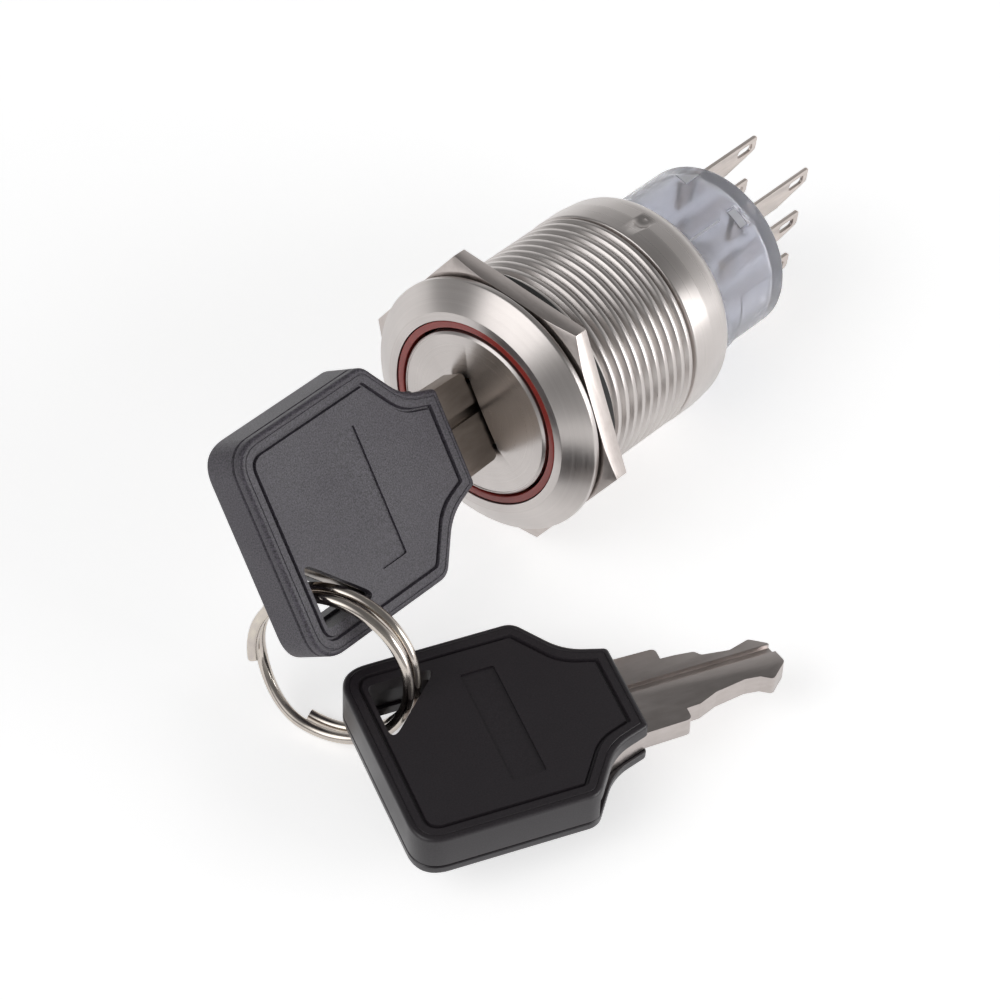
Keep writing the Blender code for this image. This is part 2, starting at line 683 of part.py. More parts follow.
def build_block():
    block = turned("contact_block", [
        (0, BLOCK_FRONT),
        (BLOCK_RADIUS, BLOCK_FRONT),
        (BLOCK_RADIUS, BLOCK_END - BLOCK_EDGE),
        (BLOCK_RADIUS - BLOCK_EDGE, BLOCK_END),
        (0, BLOCK_END),
    ], AXIS, SMOKE)
    cut(block, turned("block_cavity", [
        (0, BLOCK_FRONT - OVERCUT),
        (BLOCK_INNER, BLOCK_FRONT - OVERCUT),
        (BLOCK_INNER, BLOCK_END - BLOCK_FLOOR),
        (0, BLOCK_END - BLOCK_FLOOR),
    ], AXIS, None, TURNED_STEPS, CUTTERS))
    for number, (across, up) in enumerate(TAB_PLACES, 1):
        build_tab(block, number, Vector((across, up)) * BLOCK_INNER)


def build_tab(block, number, spot):
    """A blade with a straight upper edge, a lower edge that tapers to the tip, and a slot for the wire."""
    half = TAB_WIDTH / 2
    outline = rounded([
        (-half, 0, 0),
        (half, 0, 0),
        (half, TAB_LENGTH, TAB_TIP_CORNER),
        (half - TAB_TIP_WIDTH, TAB_LENGTH, TAB_TIP_CORNER),
        (-half, TAB_LENGTH - TAB_TAPER, 0),
    ])
    seat = Matrix.Translation((spot.x, spot.y, -TAB_INNER_END)) @ axes(Vector((0, 1, 0)), Vector((0, 0, -1)))
    tab = plate("terminal_%d" % number, outline, -TAB_THICK / 2, TAB_THICK / 2, AXIS, NICKEL)
    tab.matrix_local = seat
    upper = half - TAB_HOLE_EDGE
    lower = upper - TAB_HOLE_WIDTH
    end = TAB_LENGTH - TAB_HOLE_MARGIN
    start = end - TAB_HOLE_LENGTH
    corners = ((lower, start), (upper, start), (upper, end), (lower, end))
    slot = rounded([(u, v, TAB_HOLE_CORNER) for u, v in corners])
    hole = plate("tab_hole_%d" % number, slot, -OVERCUT, OVERCUT, AXIS, None, CUTTERS)
    hole.matrix_local = seat
    cut(tab, hole)
    root = TAB_ROOT_THICK / 2
    low = (spot.x - root, spot.y - half, -BLOCK_END - TAB_ROOT_PROUD)
    high = (spot.x + root, spot.y + half, -TAB_INNER_END)
    modify(tab, box("tab_root_%d" % number, low, high, AXIS, None, CUTTERS), "UNION")
    half += SEAT_GAP
    root += SEAT_GAP
    low = (spot.x - root, spot.y - half, -BLOCK_END - OVERCUT)
    high = (spot.x + root, spot.y + half, -BLOCK_END + BLOCK_FLOOR + OVERCUT)
    cut(block, box("tab_slot_%d" % number, low, high, AXIS, None, CUTTERS))


def head_outline():
    side = [
        (0.0, HEAD_WIDTH / 2, HEAD_CORNER),
        (HEAD_BODY, HEAD_WIDTH / 2, SHOULDER_CORNER),
        (NECK_BEND, (NECK_WIDTH + NECK_FLARE) / 2, NECK_HOLLOW),
        (HEAD_LENGTH, NECK_WIDTH / 2, NECK_CORNER),
    ]
    return rounded([(x, -y, r) for x, y, r in side] + [(x, y, r) for x, y, r in reversed(side)])


def hole_outline(grow):
    return rounded([
        (HOLE_X - grow, HOLE_Y + grow, HOLE_CORNER),
        (HOLE_X - grow, HOLE_Y - HOLE_LEG - grow, HOLE_CORNER),
        (HOLE_X + HOLE_LEG + grow, HOLE_Y + grow, HOLE_CORNER),
    ])


def blade_outline():
    shoulder = BLADE_ROOT_HALF + BLADE_SHOULDER_WIDE
    head = [
        (BLANK_MARGIN, BOW_HALF, BOW_CORNER),
        (HEAD_BODY, BOW_HALF, SHOULDER_CORNER),
        (NECK_BEND, (NECK_WIDTH + NECK_FLARE) / 2 - SEAT_GAP, NECK_HOLLOW),
        (HEAD_LENGTH, NECK_WIDTH / 2 - SEAT_GAP, 0),
        (BLADE_SHOULDER, shoulder, BLADE_SHOULDER_FILLET),
        (BLADE_SHOULDER, BLADE_ROOT_HALF, 0),
    ]
    cuts = [(along, -wide) for along, wide in BLADE_CUTS_OUT] + list(BLADE_CUTS_BACK)
    blade = [
        (BLADE_SHOULDER + along * BLADE_LENGTH, wide * BLADE_ROOT_HALF, CUT_FILLET) for along, wide in cuts
    ]
    return rounded([(x, -y, r) for x, y, r in head] + blade + list(reversed(head)))


def build_key(prefix, parent):
    """A key whose x runs from the head's end to the blade's tip, blank centred on z."""
    half = BLANK_THICK / 2
    blank = plate(prefix + "_blade", blade_outline(), -half, half, parent, NICKEL)
    top = plate(prefix + "_head_top", head_outline(), -half, half + TOP_SHELL_WEB, parent, BLACK_PLASTIC)
    low = -half - SHELL_GAP
    bottom = plate(prefix + "_head_bottom", head_outline(), low - BOTTOM_SHELL, low, parent, BLACK_PLASTIC)
    for shell in (top, bottom):
        bevel = shell.modifiers.new("Edge", "BEVEL")
        bevel.width = SHELL_EDGE
        bevel.segments = 2
        bevel.limit_method = "ANGLE"
        bevel.angle_limit = EDGE_ANGLE
    pocket_half = BOW_HALF + POCKET_GAP
    side = [
        (BLANK_MARGIN - POCKET_GAP, pocket_half, BOW_CORNER),
        (HEAD_BODY + POCKET_GAP, pocket_half, 0),
        (HEAD_BODY + POCKET_GAP, HEAD_WIDTH, 0),
        (HEAD_LENGTH + OVERCUT, HEAD_WIDTH, 0),
    ]
    pocket = rounded([(x, -y, r) for x, y, r in side] + [(x, y, r) for x, y, r in reversed(side)])
    cut(top, plate(prefix + "_pocket", pocket, -half - OVERCUT, half + POCKET_GAP, parent, None, CUTTERS))
    for shell, grow in ((top, 0.0), (bottom, 0.0), (blank, BLANK_HOLE_GROW)):
        cut(shell, plate(shell.name + "_hole", hole_outline(grow), -THROUGH, THROUGH, parent, None, CUTTERS))
    start = HEAD_LENGTH - BLANK_MARGIN
    stop = BLADE_TIP + OVERCUT
    for side, name in ((1, "_groove_top"), (-1, "_groove_bottom")):
        near = side * GROOVE_Y - GROOVE_WIDTH / 2
        depths = sorted((side * (half - GROOVE_DEPTH), side * (half + OVERCUT)))
        low = (start, near, depths[0])
        high = (stop, near + GROOVE_WIDTH, depths[1])
        cut(blank, box(prefix + name, low, high, parent, None, CUTTERS))


def build_inserted_key():
    """The key in the lock, its thick shell to the left of the keyway."""
    inserted = empty("key_pull", KEY_AXIS)
    reach = BLADE_SHOULDER + FACE_FRONT + KEY_SEAT_GAP
    inserted.matrix_local = Matrix.Translation((0, 0, reach)) @ axes(Vector((0, 0, -1)), Vector((1, 0, 0)))
    build_key("key", inserted)
    bpy.context.view_layer.update()
    return inserted.matrix_world.copy()


def split_ring_points():
    """Two flat turns side by side, with a jog from one to the other between the wire's ends."""
    flat = 2 * math.pi - RING_JOG
    whole = flat + 2 * math.pi
    count = round(whole / (2 * math.pi) * RING_STEPS)
    points = []
    for step in range(count + 1):
        turn = whole * step / count
        rise = min(max((turn - flat) / RING_JOG, 0.0), 1.0)
        height = RING_PITCH * (rise * rise * (3 - 2 * rise) - 0.5)
        around = turn + RING_START
        points.append(Vector((RING_RADIUS * math.cos(around), RING_RADIUS * math.sin(around), height)))
    return points


def build_ring(key_frame):
    """The ring hangs in the key's hole; its centre is handed on to place the spare key."""
    centre = key_frame @ Vector((HOLE_X + RING_ALONG, HOLE_Y + RING_ACROSS, RING_OVER))
    normal = key_frame.to_3x3() @ RING_NORMAL
    pivot = empty("ring_frame", STAND)
    pivot.matrix_local = Matrix.Translation(centre) @ normal.to_track_quat("Z", "Y").to_matrix().to_4x4()
    coil = split_ring_points()
    wire("split_ring", coil, RING_WIRE, pivot, NICKEL)
    print("split_ring least gap mm %.2f" % (least_gap(coil, RING_WIRE, RING_STEPS // 2) / MM))
    return centre


def build_spare_key(ring_centre):
    flat = Vector((math.cos(SPARE_HEADING), math.sin(SPARE_HEADING), 0))
    along = flat * math.cos(SPARE_PITCH) - Vector((0, 0, math.sin(SPARE_PITCH)))
    left = Vector((-flat.y, flat.x, 0))
    turned_over = axes(along, left) @ Matrix.Rotation(-SPARE_ROLL, 4, "X")
    corner = turned_over @ Vector((HOLE_X, HOLE_Y, 0))
    spare = empty("spare_key", STAND)
    spot = ring_centre + Vector((SPARE_HOLE_RIGHT, -SPARE_HOLE_AHEAD, -SPARE_HOLE_BELOW)) - corner
    spare.matrix_local = Matrix.Translation(spot) @ turned_over
    print("ring centre mm", [round(v / MM, 3) for v in ring_centre])
    print("spare key mm", [round(v / MM, 3) for v in spot])
    build_key("spare", spare)


def stand_on_origin():
    """Bring the part's lowest point to z = 0 with the origin under the middle of its box."""
    bpy.context.view_layer.update()
    graph = bpy.context.evaluated_depsgraph_get()
    corners = []
    for obj in PARTS.objects:
        if obj.type == "EMPTY":
            continue
        evaluated = obj.evaluated_get(graph)
        mesh = evaluated.to_mesh()
        corners += [evaluated.matrix_world @ v.co for v in mesh.vertices]
        evaluated.to_mesh_clear()
    low = Vector([min(c[k] for c in corners) for k in range(3)])
    high = Vector([max(c[k] for c in corners) for k in range(3)])
    STAND.location = (-(low.x + high.x) / 2, -(low.y + high.y) / 2, -low.z)
    print("rim centre at mm", [round(v / MM, 3) for v in STAND.location])


build_housing()
build_light()
build_nut()
build_lock()
build_cam()
build_contacts()
build_block()
build_spare_key(build_ring(build_inserted_key()))
stand_on_origin()
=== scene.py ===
import json
import math

import bmesh
import bpy
from mathutils import Matrix, Vector


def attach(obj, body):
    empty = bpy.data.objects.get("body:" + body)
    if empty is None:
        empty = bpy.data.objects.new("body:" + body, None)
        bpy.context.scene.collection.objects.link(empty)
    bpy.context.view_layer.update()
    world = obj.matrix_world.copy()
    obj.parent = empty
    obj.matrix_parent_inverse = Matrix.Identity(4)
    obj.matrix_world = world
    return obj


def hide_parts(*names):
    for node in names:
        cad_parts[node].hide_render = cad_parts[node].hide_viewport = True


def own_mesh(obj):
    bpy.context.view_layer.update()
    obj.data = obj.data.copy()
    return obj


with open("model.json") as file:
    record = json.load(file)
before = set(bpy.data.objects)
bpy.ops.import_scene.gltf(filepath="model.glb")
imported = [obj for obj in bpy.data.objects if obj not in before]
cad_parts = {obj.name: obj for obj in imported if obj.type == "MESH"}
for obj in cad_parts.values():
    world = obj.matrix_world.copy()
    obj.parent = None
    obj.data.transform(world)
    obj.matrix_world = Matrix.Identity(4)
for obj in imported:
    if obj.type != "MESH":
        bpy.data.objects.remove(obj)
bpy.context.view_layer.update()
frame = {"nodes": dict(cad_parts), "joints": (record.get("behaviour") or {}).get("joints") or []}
mm = 0.001
print("frame loaded")

# the lock's own frame: z comes out of the keyhole, x is level, a station s is measured to the rear
joints = {joint["name"]: joint for joint in frame["joints"]}
rimCentre = Vector(joints["key_turn"]["pos_m"])
lockOut = Vector(joints["key_turn"]["axis"]).normalized()
levelAcross = Vector((1, 0, 0))
lockFrame = Matrix((levelAcross, lockOut.cross(levelAcross), lockOut)).transposed().to_4x4()
lockFrame.translation = rimCentre

keyPose = dict(roll=-51.5, reach=26.2)  # degrees about the lock's axis, mm from the rim to the head's end
keyBasis = Matrix(((0, 0, -1), (1, 0, 0), (0, -1, 0))).transposed().to_4x4()
rotorFrame = lockFrame @ Matrix.Rotation(math.radians(keyPose["roll"]), 4, "Z")
keyFrame = rotorFrame @ Matrix.Translation((0, 0, keyPose["reach"] * mm)) @ keyBasis

sparePose = dict(heading=62.3, pitch=1.8, roll=3.0, place=(13.75, -28.5, -7.45))  # place in mm from the rim


def spareKeyFrame(pose):
    heading = math.radians(pose["heading"])
    pitch = math.radians(pose["pitch"])
    flat = Vector((math.cos(heading), math.sin(heading), 0))
    along = flat * math.cos(pitch) + Vector((0, 0, -math.sin(pitch)))
    left = Vector((-flat.y, flat.x, 0))
    turned = Matrix((along, left, along.cross(left))).transposed().to_4x4()
    tilt = Matrix.Rotation(-math.radians(pose["roll"]), 4, "X")
    return Matrix.Translation(rimCentre + Vector(pose["place"]) * mm) @ turned @ tilt


spareFrame = spareKeyFrame(sparePose)

ringPose = dict(centre=(5.13, -23.66, -5.61), normal=(0.286, -0.926, 0.248))  # centre in mm from the rim
ringFrame = Matrix.Translation(rimCentre + Vector(ringPose["centre"]) * mm)
ringFrame = ringFrame @ Vector(ringPose["normal"]).normalized().to_track_quat("Z", "Y").to_matrix().to_4x4()


# small helpers for nodes and meshes

def linearColour(hexCode):
    channels = [int(hexCode[k:k + 2], 16) / 255 for k in (1, 3, 5)]
    return tuple(c / 12.92 if c <= 0.04045 else ((c + 0.055) / 1.055) ** 2.4 for c in channels) + (1.0,)


def addNode(tree, kind, settings=None, links=None):
    node = tree.nodes.new(kind)
    for key, value in (settings or {}).items():
        if isinstance(key, str) and hasattr(node, key):
            setattr(node, key, value)
        else:
            node.inputs[key].default_value = value
    for key, source in (links or {}).items():
        tree.links.new(source, node.inputs[key])
    return node


def newFinish(name, values):
    finish = bpy.data.materials.new(name)
    finish.use_nodes = True
    shader = finish.node_tree.nodes["Principled BSDF"]
    for socket, value in values.items():
        shader.inputs[socket].default_value = value
    return finish, finish.node_tree, shader


def localPlace(tree, where):
    # the meshes lie in the whole model's frame, so this turns a point back into the piece's own frame
    coords = addNode(tree, "ShaderNodeTexCoord")
    settings = {"vector_type": "TEXTURE", "Location": where.translation, "Rotation": where.to_euler()}
    return addNode(tree, "ShaderNodeMapping", settings, {"Vector": coords.outputs["Object"]}).outputs[0]


def softOutline(corners, steps):
    # corners are (x, y, radius) in mm, and each radius becomes a smooth curve close to an arc
    mostOfSide = 0.48
    points = []
    count = len(corners)
    for index, (x, y, radius) in enumerate(corners):
        here = Vector((x, y))
        before = Vector(corners[index - 1][:2]) - here
        after = Vector(corners[(index + 1) % count][:2]) - here
        if radius <= 0:
            points.append(here)
            continue
        turn = before.angle(after)
        reach = min(radius / math.tan(turn / 2), mostOfSide * before.length, mostOfSide * after.length)
        start = here + before.normalized() * reach
        end = here + after.normalized() * reach
        for step in range(steps + 1):
            t = step / steps
            points.append((1 - t) ** 2 * start + 2 * t * (1 - t) * here + t ** 2 * end)
    return points


def insetCorners(corners, distance):
    # moves every side of a cornered outline inwards, rounding what points out less and what points in more
    leastRound = 0.08
    moved = []
    count = len(corners)
    for index, (x, y, radius) in enumerate(corners):
        here = Vector((x, y))
        before = (here - Vector(corners[index - 1][:2])).normalized()
        after = (Vector(corners[(index + 1) % count][:2]) - here).normalized()
        along = (before + after).normalized()
        place = here + Vector((-along.y, along.x)) * distance / along.dot(after)
        convex = before.x * after.y - before.y * after.x > 0
        moved.append((place.x, place.y, max(radius - distance, leastRound) if convex else radius + distance))
    return moved


def meshObject(name, bm):
    bmesh.ops.recalc_face_normals(bm, faces=bm.faces)
    mesh = bpy.data.meshes.new(name)
    bm.to_mesh(mesh)
    bm.free()
    piece = bpy.data.objects.new(name, mesh)
    bpy.context.scene.collection.objects.link(piece)
    return piece


def turnedSolid(name, profile, columns=144):
    # profile holds (radius, station) in mm and closes on itself or on the axis
    bm = bmesh.new()
    turning = bm.loops.layers.uv.new("turning")
    rings = []
    for radius, station in profile:
        if radius < 1e-6:  # a point on the axis
            rings.append([bm.verts.new((0, 0, -station * mm))] * columns)
            continue
        angles = [2 * math.pi * column / columns for column in range(columns)]
        reach, depth = radius * mm, -station * mm
        rings.append([bm.verts.new((reach * math.cos(a), reach * math.sin(a), depth)) for a in angles])
    for row, (ring, following) in enumerate(zip(rings, rings[1:] + rings[:1])):
        for column in range(columns):
            nextColumn = (column + 1) % columns
            corners = [
                (ring[column], column, row),
                (following[column], column, row + 1),
                (following[nextColumn], column + 1, row + 1),
                (ring[nextColumn], column + 1, row),
            ]
            seen = {}
            for vert, u, v in corners:
                seen.setdefault(vert, (u / columns, v / len(rings)))
            if len(seen) > 2:
                face = bm.faces.new(list(seen))
                for loop in face.loops:
                    loop[turning].uv = seen[loop.vert]
    return meshObject(name, bm)


def stackedSolid(name, levels):
    # levels are (outline, height) in mm, from the bottom face to the top face
    bm = bmesh.new()
    rings = []
    for outline, height in levels:
        rings.append([bm.verts.new((p.x * mm, p.y * mm, height * mm)) for p in outline])
    for ring, following in zip(rings, rings[1:]):
        for index in range(len(ring)):
            bm.faces.new((ring[index - 1], ring[index], following[index], following[index - 1]))
    bm.faces.new(list(reversed(rings[0])))
    bm.faces.new(rings[-1])
    return meshObject(name, bm)


def boxSolid(name, low, high):
    bm = bmesh.new()
    middle = (Vector(low) + Vector(high)) / 2 * mm
    size = (Vector(high) - Vector(low)) * mm
    bmesh.ops.create_cube(bm, size=1, matrix=Matrix.Translation(middle) @ Matrix.Diagonal((*size, 1)))
    return meshObject(name, bm)


def applyModifiers(piece):
    bpy.context.view_layer.update()
    evaluated = piece.evaluated_get(bpy.context.evaluated_depsgraph_get())
    mesh = bpy.data.meshes.new_from_object(evaluated)
    piece.modifiers.clear()
    piece.data = mesh
    return piece


def carve(piece, tools, operation="DIFFERENCE"):
    for tool in tools:
        step = piece.modifiers.new("carve", "BOOLEAN")
        step.operation = operation
        step.object = tool
        step.solver = "EXACT"
    applyModifiers(piece)
    for tool in tools:
        bpy.data.objects.remove(tool, do_unlink=True)


def softenEdges(piece, width, angle, segments=2):
    bevel = piece.modifiers.new("soften", "BEVEL")
    bevel.width = width * mm
    bevel.segments = segments
    bevel.limit_method = "ANGLE"
    bevel.angle_limit = math.radians(angle)
    bevel.use_clamp_overlap = True
    return applyModifiers(piece)


def dressPiece(piece, where, material, body, nodes=(), sharp=35):
    piece.data.transform(where)
    piece.data.materials.clear()
    piece.data.materials.append(material)
    piece.data.shade_smooth()
    piece.data.set_sharp_from_angle(angle=math.radians(sharp))
    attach(piece, body)
    if nodes:
        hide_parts(*nodes)


def nodeCopy(name, node, where):
    # a clean copy of a solid, brought into its own frame so that its edges can be softened
    weld = 0.000002  # metres
    bm = bmesh.new()
    bm.from_mesh(frame["nodes"][node].data)
    bmesh.ops.remove_doubles(bm, verts=bm.verts, dist=weld)
    bmesh.ops.dissolve_limit(bm, angle_limit=math.radians(1), verts=bm.verts, edges=bm.edges)
    bmesh.ops.transform(bm, matrix=where.inverted(), verts=bm.verts)
    return meshObject(name, bm)


# stainless steel turned on a lathe: fine rings round the axis, so light draws out into rays across them
stainlessLook = dict(
    light="#d3cdca", dark="#bfb9b6", lineMm=0.1, lineDepthMm=0.0015, lineShare=0.6, cloudMm=5.0,
    roughLow=0.27, roughHigh=0.36, bump=0.35, drawnOut=0.6, drawnTurn=0.25,
    depthShare=0.83, toneSpan=(0.5, 1.1), lineSpan=(0.3, 0.7),
)


def turnedStainless(name, where, look):
    finish, tree, shader = newFinish(
        name, {"Metallic": 1.0, "Anisotropic": look["drawnOut"], "Anisotropic Rotation": look["drawnTurn"]}
    )
    place = localPlace(tree, where)
    flat = addNode(tree, "ShaderNodeVectorMath", {"operation": "MULTIPLY", 1: (1, 1, 0)}, {0: place})
    radius = addNode(tree, "ShaderNodeVectorMath", {"operation": "LENGTH"}, {0: flat.outputs[0]})
    depth = addNode(tree, "ShaderNodeSeparateXYZ", None, {0: place})
    # the lines follow the radius across a face and the depth along a barrel
    across = addNode(
        tree, "ShaderNodeMath", {"operation": "MULTIPLY_ADD", 1: look["depthShare"]},
        {0: depth.outputs["Z"], 2: radius.outputs["Value"]},
    )
    # real tool lines are about 0.05 mm apart, drawn at lineMm so that they show
    lines = addNode(
        tree, "ShaderNodeTexNoise",
        {"noise_dimensions": "1D", "Scale": 1 / (look["lineMm"] * mm), "Detail": 3.0, "Roughness": 0.7},
        {"W": across.outputs[0]},
    )
    clouds = addNode(
        tree, "ShaderNodeTexNoise", {"Scale": 1 / (look["cloudMm"] * mm), "Detail": 2.0}, {"Vector": place}
    )
    tone = addNode(
        tree, "ShaderNodeMath", {"operation": "MULTIPLY_ADD", 1: look["lineShare"]},
        {0: lines.outputs["Fac"], 2: clouds.outputs["Fac"]},
    )
    low, high = look["toneSpan"]
    share = addNode(
        tree, "ShaderNodeMapRange", {"From Min": low, "From Max": high}, {"Value": tone.outputs[0]}
    )
    colour = addNode(
        tree, "ShaderNodeMix",
        {"data_type": "RGBA", 6: linearColour(look["dark"]), 7: linearColour(look["light"])},
        {0: share.outputs[0]},
    )
    low, high = look["lineSpan"]
    rough = addNode(
        tree, "ShaderNodeMapRange",
        {"From Min": low, "From Max": high, "To Min": look["roughLow"], "To Max": look["roughHigh"]},
        {"Value": lines.outputs["Fac"]},
    )
    bump = addNode(
        tree, "ShaderNodeBump", {"Strength": look["bump"], "Distance": look["lineDepthMm"] * mm},
        {"Height": lines.outputs["Fac"]},
    )
    tangent = addNode(tree, "ShaderNodeTangent", {"direction_type": "UV_MAP", "uv_map": "turning"})
    tree.links.new(colour.outputs[2], shader.inputs["Base Color"])
    tree.links.new(rough.outputs[0], shader.inputs["Roughness"])
    tree.links.new(bump.outputs[0], shader.inputs["Normal"])
    tree.links.new(tangent.outputs[0], shader.inputs["Tangent"])
    return finish


# nickel plate over milled or stamped metal: a warm bright grey with streaks along the cut
nickelLook = dict(
    light="#cac2be", dark="#beb5b1", roughLow=0.29, roughHigh=0.35, depthMm=0.0003, bump=0.2,
    spotMm=1.4, spotShare=0.5, toneSpan=(0.5, 1.0), streakSpan=(0.35, 0.65),
)


def platedNickel(name, where, look, streakMm):
    finish, tree, shader = newFinish(name, {"Metallic": 1.0})
    place = localPlace(tree, where)
    streakScale = [1 / (s * mm) for s in streakMm]
    stretched = addNode(
        tree, "ShaderNodeVectorMath", {"operation": "MULTIPLY", 1: streakScale}, {0: place}
    )
    streaks = addNode(
        tree, "ShaderNodeTexNoise", {"Scale": 1.0, "Detail": 4.0, "Roughness": 0.65},
        {"Vector": stretched.outputs[0]},
    )
    spots = addNode(
        tree, "ShaderNodeTexNoise", {"Scale": 1 / (look["spotMm"] * mm), "Detail": 3.0}, {"Vector": place}
    )
    mixed = addNode(
        tree, "ShaderNodeMath", {"operation": "MULTIPLY_ADD", 1: look["spotShare"]},
        {0: spots.outputs["Fac"], 2: streaks.outputs["Fac"]},
    )
    low, high = look["toneSpan"]
    share = addNode(
        tree, "ShaderNodeMapRange", {"From Min": low, "From Max": high}, {"Value": mixed.outputs[0]}
    )
    colour = addNode(
        tree, "ShaderNodeMix",
        {"data_type": "RGBA", 6: linearColour(look["dark"]), 7: linearColour(look["light"])},
        {0: share.outputs[0]},
    )
    low, high = look["streakSpan"]
    rough = addNode(
        tree, "ShaderNodeMapRange",
        {"From Min": low, "From Max": high, "To Min": look["roughLow"], "To Max": look["roughHigh"]},
        {"Value": streaks.outputs["Fac"]},
    )
    bump = addNode(
        tree, "ShaderNodeBump", {"Strength": look["bump"], "Distance": look["depthMm"] * mm},
        {"Height": streaks.outputs["Fac"]},
    )
    tree.links.new(colour.outputs[2], shader.inputs["Base Color"])
    tree.links.new(rough.outputs[0], shader.inputs["Roughness"])
    tree.links.new(bump.outputs[0], shader.inputs["Normal"])
    return finish


# ABS moulded in a spark-eroded tool: a dull even grain, shinier in patches; the grain's pale colour is
# painted sheen, the light that the grain catches
absLook = dict(
    base="#2c292e", grainSheen="#59545e", grainMm=0.13, grainDepthMm=0.045, patchMm=6.0, ior=1.53,
    roughLow=0.43, roughHigh=0.49, bump=0.8, grainSpan=(0.36, 0.66), patchSpan=(0.35, 0.65),
)


def grainedAbs(name, where, look):
    finish, tree, shader = newFinish(name, {"IOR": look["ior"]})
    place = localPlace(tree, where)
    # the real grain is about 0.05 mm, drawn at grainMm so that it shows
    grain = addNode(
        tree, "ShaderNodeTexNoise", {"Scale": 1 / (look["grainMm"] * mm), "Detail": 2.0, "Roughness": 0.6},
        {"Vector": place},
    )
    patches = addNode(
        tree, "ShaderNodeTexNoise", {"Scale": 1 / (look["patchMm"] * mm), "Detail": 3.0}, {"Vector": place}
    )
    low, high = look["grainSpan"]
    spread = addNode(
        tree, "ShaderNodeMapRange", {"From Min": low, "From Max": high}, {"Value": grain.outputs["Fac"]}
    )
    # the grain mixes the base colour with a pale one, which is painted sheen on the grain
    colour = addNode(
        tree, "ShaderNodeMix",
        {"data_type": "RGBA", 6: linearColour(look["base"]), 7: linearColour(look["grainSheen"])},
        {0: spread.outputs[0]},
    )
    low, high = look["patchSpan"]
    rough = addNode(
        tree, "ShaderNodeMapRange",
        {"From Min": low, "From Max": high, "To Min": look["roughLow"], "To Max": look["roughHigh"]},
        {"Value": patches.outputs["Fac"]},
    )
    bump = addNode(
        tree, "ShaderNodeBump", {"Strength": look["bump"], "Distance": look["grainDepthMm"] * mm},
        {"Height": grain.outputs["Fac"]},
    )
    tree.links.new(colour.outputs[2], shader.inputs["Base Color"])
    tree.links.new(rough.outputs[0], shader.inputs["Roughness"])
    tree.links.new(bump.outputs[0], shader.inputs["Normal"])
    return finish


# plain finishes that differ in their colours, the size and depth of their grain, and the shader's values
def grainedFinish(name, lightHex, darkHex, grainMm, depthMm, values, strength=0.3):
    finish, tree, shader = newFinish(name, values)
    place = localPlace(tree, lockFrame)
    grain = addNode(
        tree, "ShaderNodeTexNoise", {"Scale": 1 / (grainMm * mm), "Detail": 3.0}, {"Vector": place}
    )
    colour = addNode(
        tree, "ShaderNodeMix",
        {"data_type": "RGBA", 6: linearColour(darkHex), 7: linearColour(lightHex)},
        {0: grain.outputs["Fac"]},
    )
    bump = addNode(
        tree, "ShaderNodeBump", {"Strength": strength, "Distance": depthMm * mm},
        {"Height": grain.outputs["Fac"]},
    )
    tree.links.new(colour.outputs[2], shader.inputs["Base Color"])
    tree.links.new(bump.outputs[0], shader.inputs["Normal"])
    return finish


steelSkin = turnedStainless("turned stainless steel", lockFrame, stainlessLook)
discSkin = turnedStainless("turned disc face", rotorFrame, stainlessLook)
# milled plate has short streaks; a streak's sizes are in mm along the axes of its piece
nutSkin = platedNickel("milled nickel plate", lockFrame, nickelLook, (0.5, 0.5, 0.12))
# tin over stamped brass: paler than nickel, with streaks along the tab
tabLook = dict(nickelLook, light="#d8cec8", dark="#c6bbb4")
tabSkin = platedNickel("stamped tinned brass", lockFrame, tabLook, (0.6, 0.2, 1.5))
# milled blanks: streaks along the blade; the key that is in the lock is drawn in a darker tone, which is
# painted shade
bladeStreak = (1.8, 0.4, 0.4)
# painted shade: a darker copy of the nickel look, for the key that is in the lock
shadedBladeLook = dict(nickelLook, light="#a39990", dark="#968c84")
shadedBladeSkin = platedNickel("milled nickel key blank with painted shade", keyFrame, shadedBladeLook, bladeStreak)
spareBladeLook = dict(nickelLook, light="#c2bab7", dark="#b6aeaa")
spareBladeSkin = platedNickel("milled nickel spare blank", spareFrame, spareBladeLook, bladeStreak)
# plated spring wire: smoother than the milled pieces, so it mirrors more sharply
wireLook = dict(nickelLook, light="#d6cec2", roughLow=0.1, roughHigh=0.18)
ringSkin = platedNickel("drawn nickel wire", ringFrame, wireLook, (2.0, 2.0, 0.3))
headSkin = grainedAbs("spark grained ABS", keyFrame, absLook)
# the spare's grain is shallower, smoother and a little shiny; its colours are drawn darker, with little of
# the pale sheen, which is painted shade
shadedSmoothLook = dict(absLook, base="#262226", grainSheen="#302b2f", grainDepthMm=0.006, roughLow=0.3, roughHigh=0.4)
spareHeadSkin = grainedAbs("smooth ABS with painted shade", spareFrame, shadedSmoothLook)
# moulded rubber: black, dull and a touch grey with dust
rubberSkin = grainedFinish(
    "moulded black rubber", "#2a2929", "#171616", 0.3, 0.01, {"Roughness": 0.7, "IOR": 1.52}
)
# tinted polycarbonate: deep red and glossy, with its lamps off
lensSkin = grainedFinish(
    "red polycarbonate lens", "#a5382f", "#8c2822", 0.8, 0.002,
    {"Roughness": 0.28, "IOR": 1.58, "Coat Weight": 0.3, "Coat Roughness": 0.1},
)
# moulded polycarbonate with a light grey tint: milky, so inner shapes show only as dark clouds;
# its index is drawn below the real 1.58, so that the thin rim stays light
blockSkin = grainedFinish(
    "grey tinted polycarbonate", "#f0f1f8", "#e5e7f0", 2.0, 0.003,
    {
        "Roughness": 0.2, "IOR": 1.25, "Transmission Weight": 0.8, "Subsurface Weight": 1.0,
        "Subsurface Radius": (1, 1, 1), "Subsurface Scale": 0.0015,
    },
)
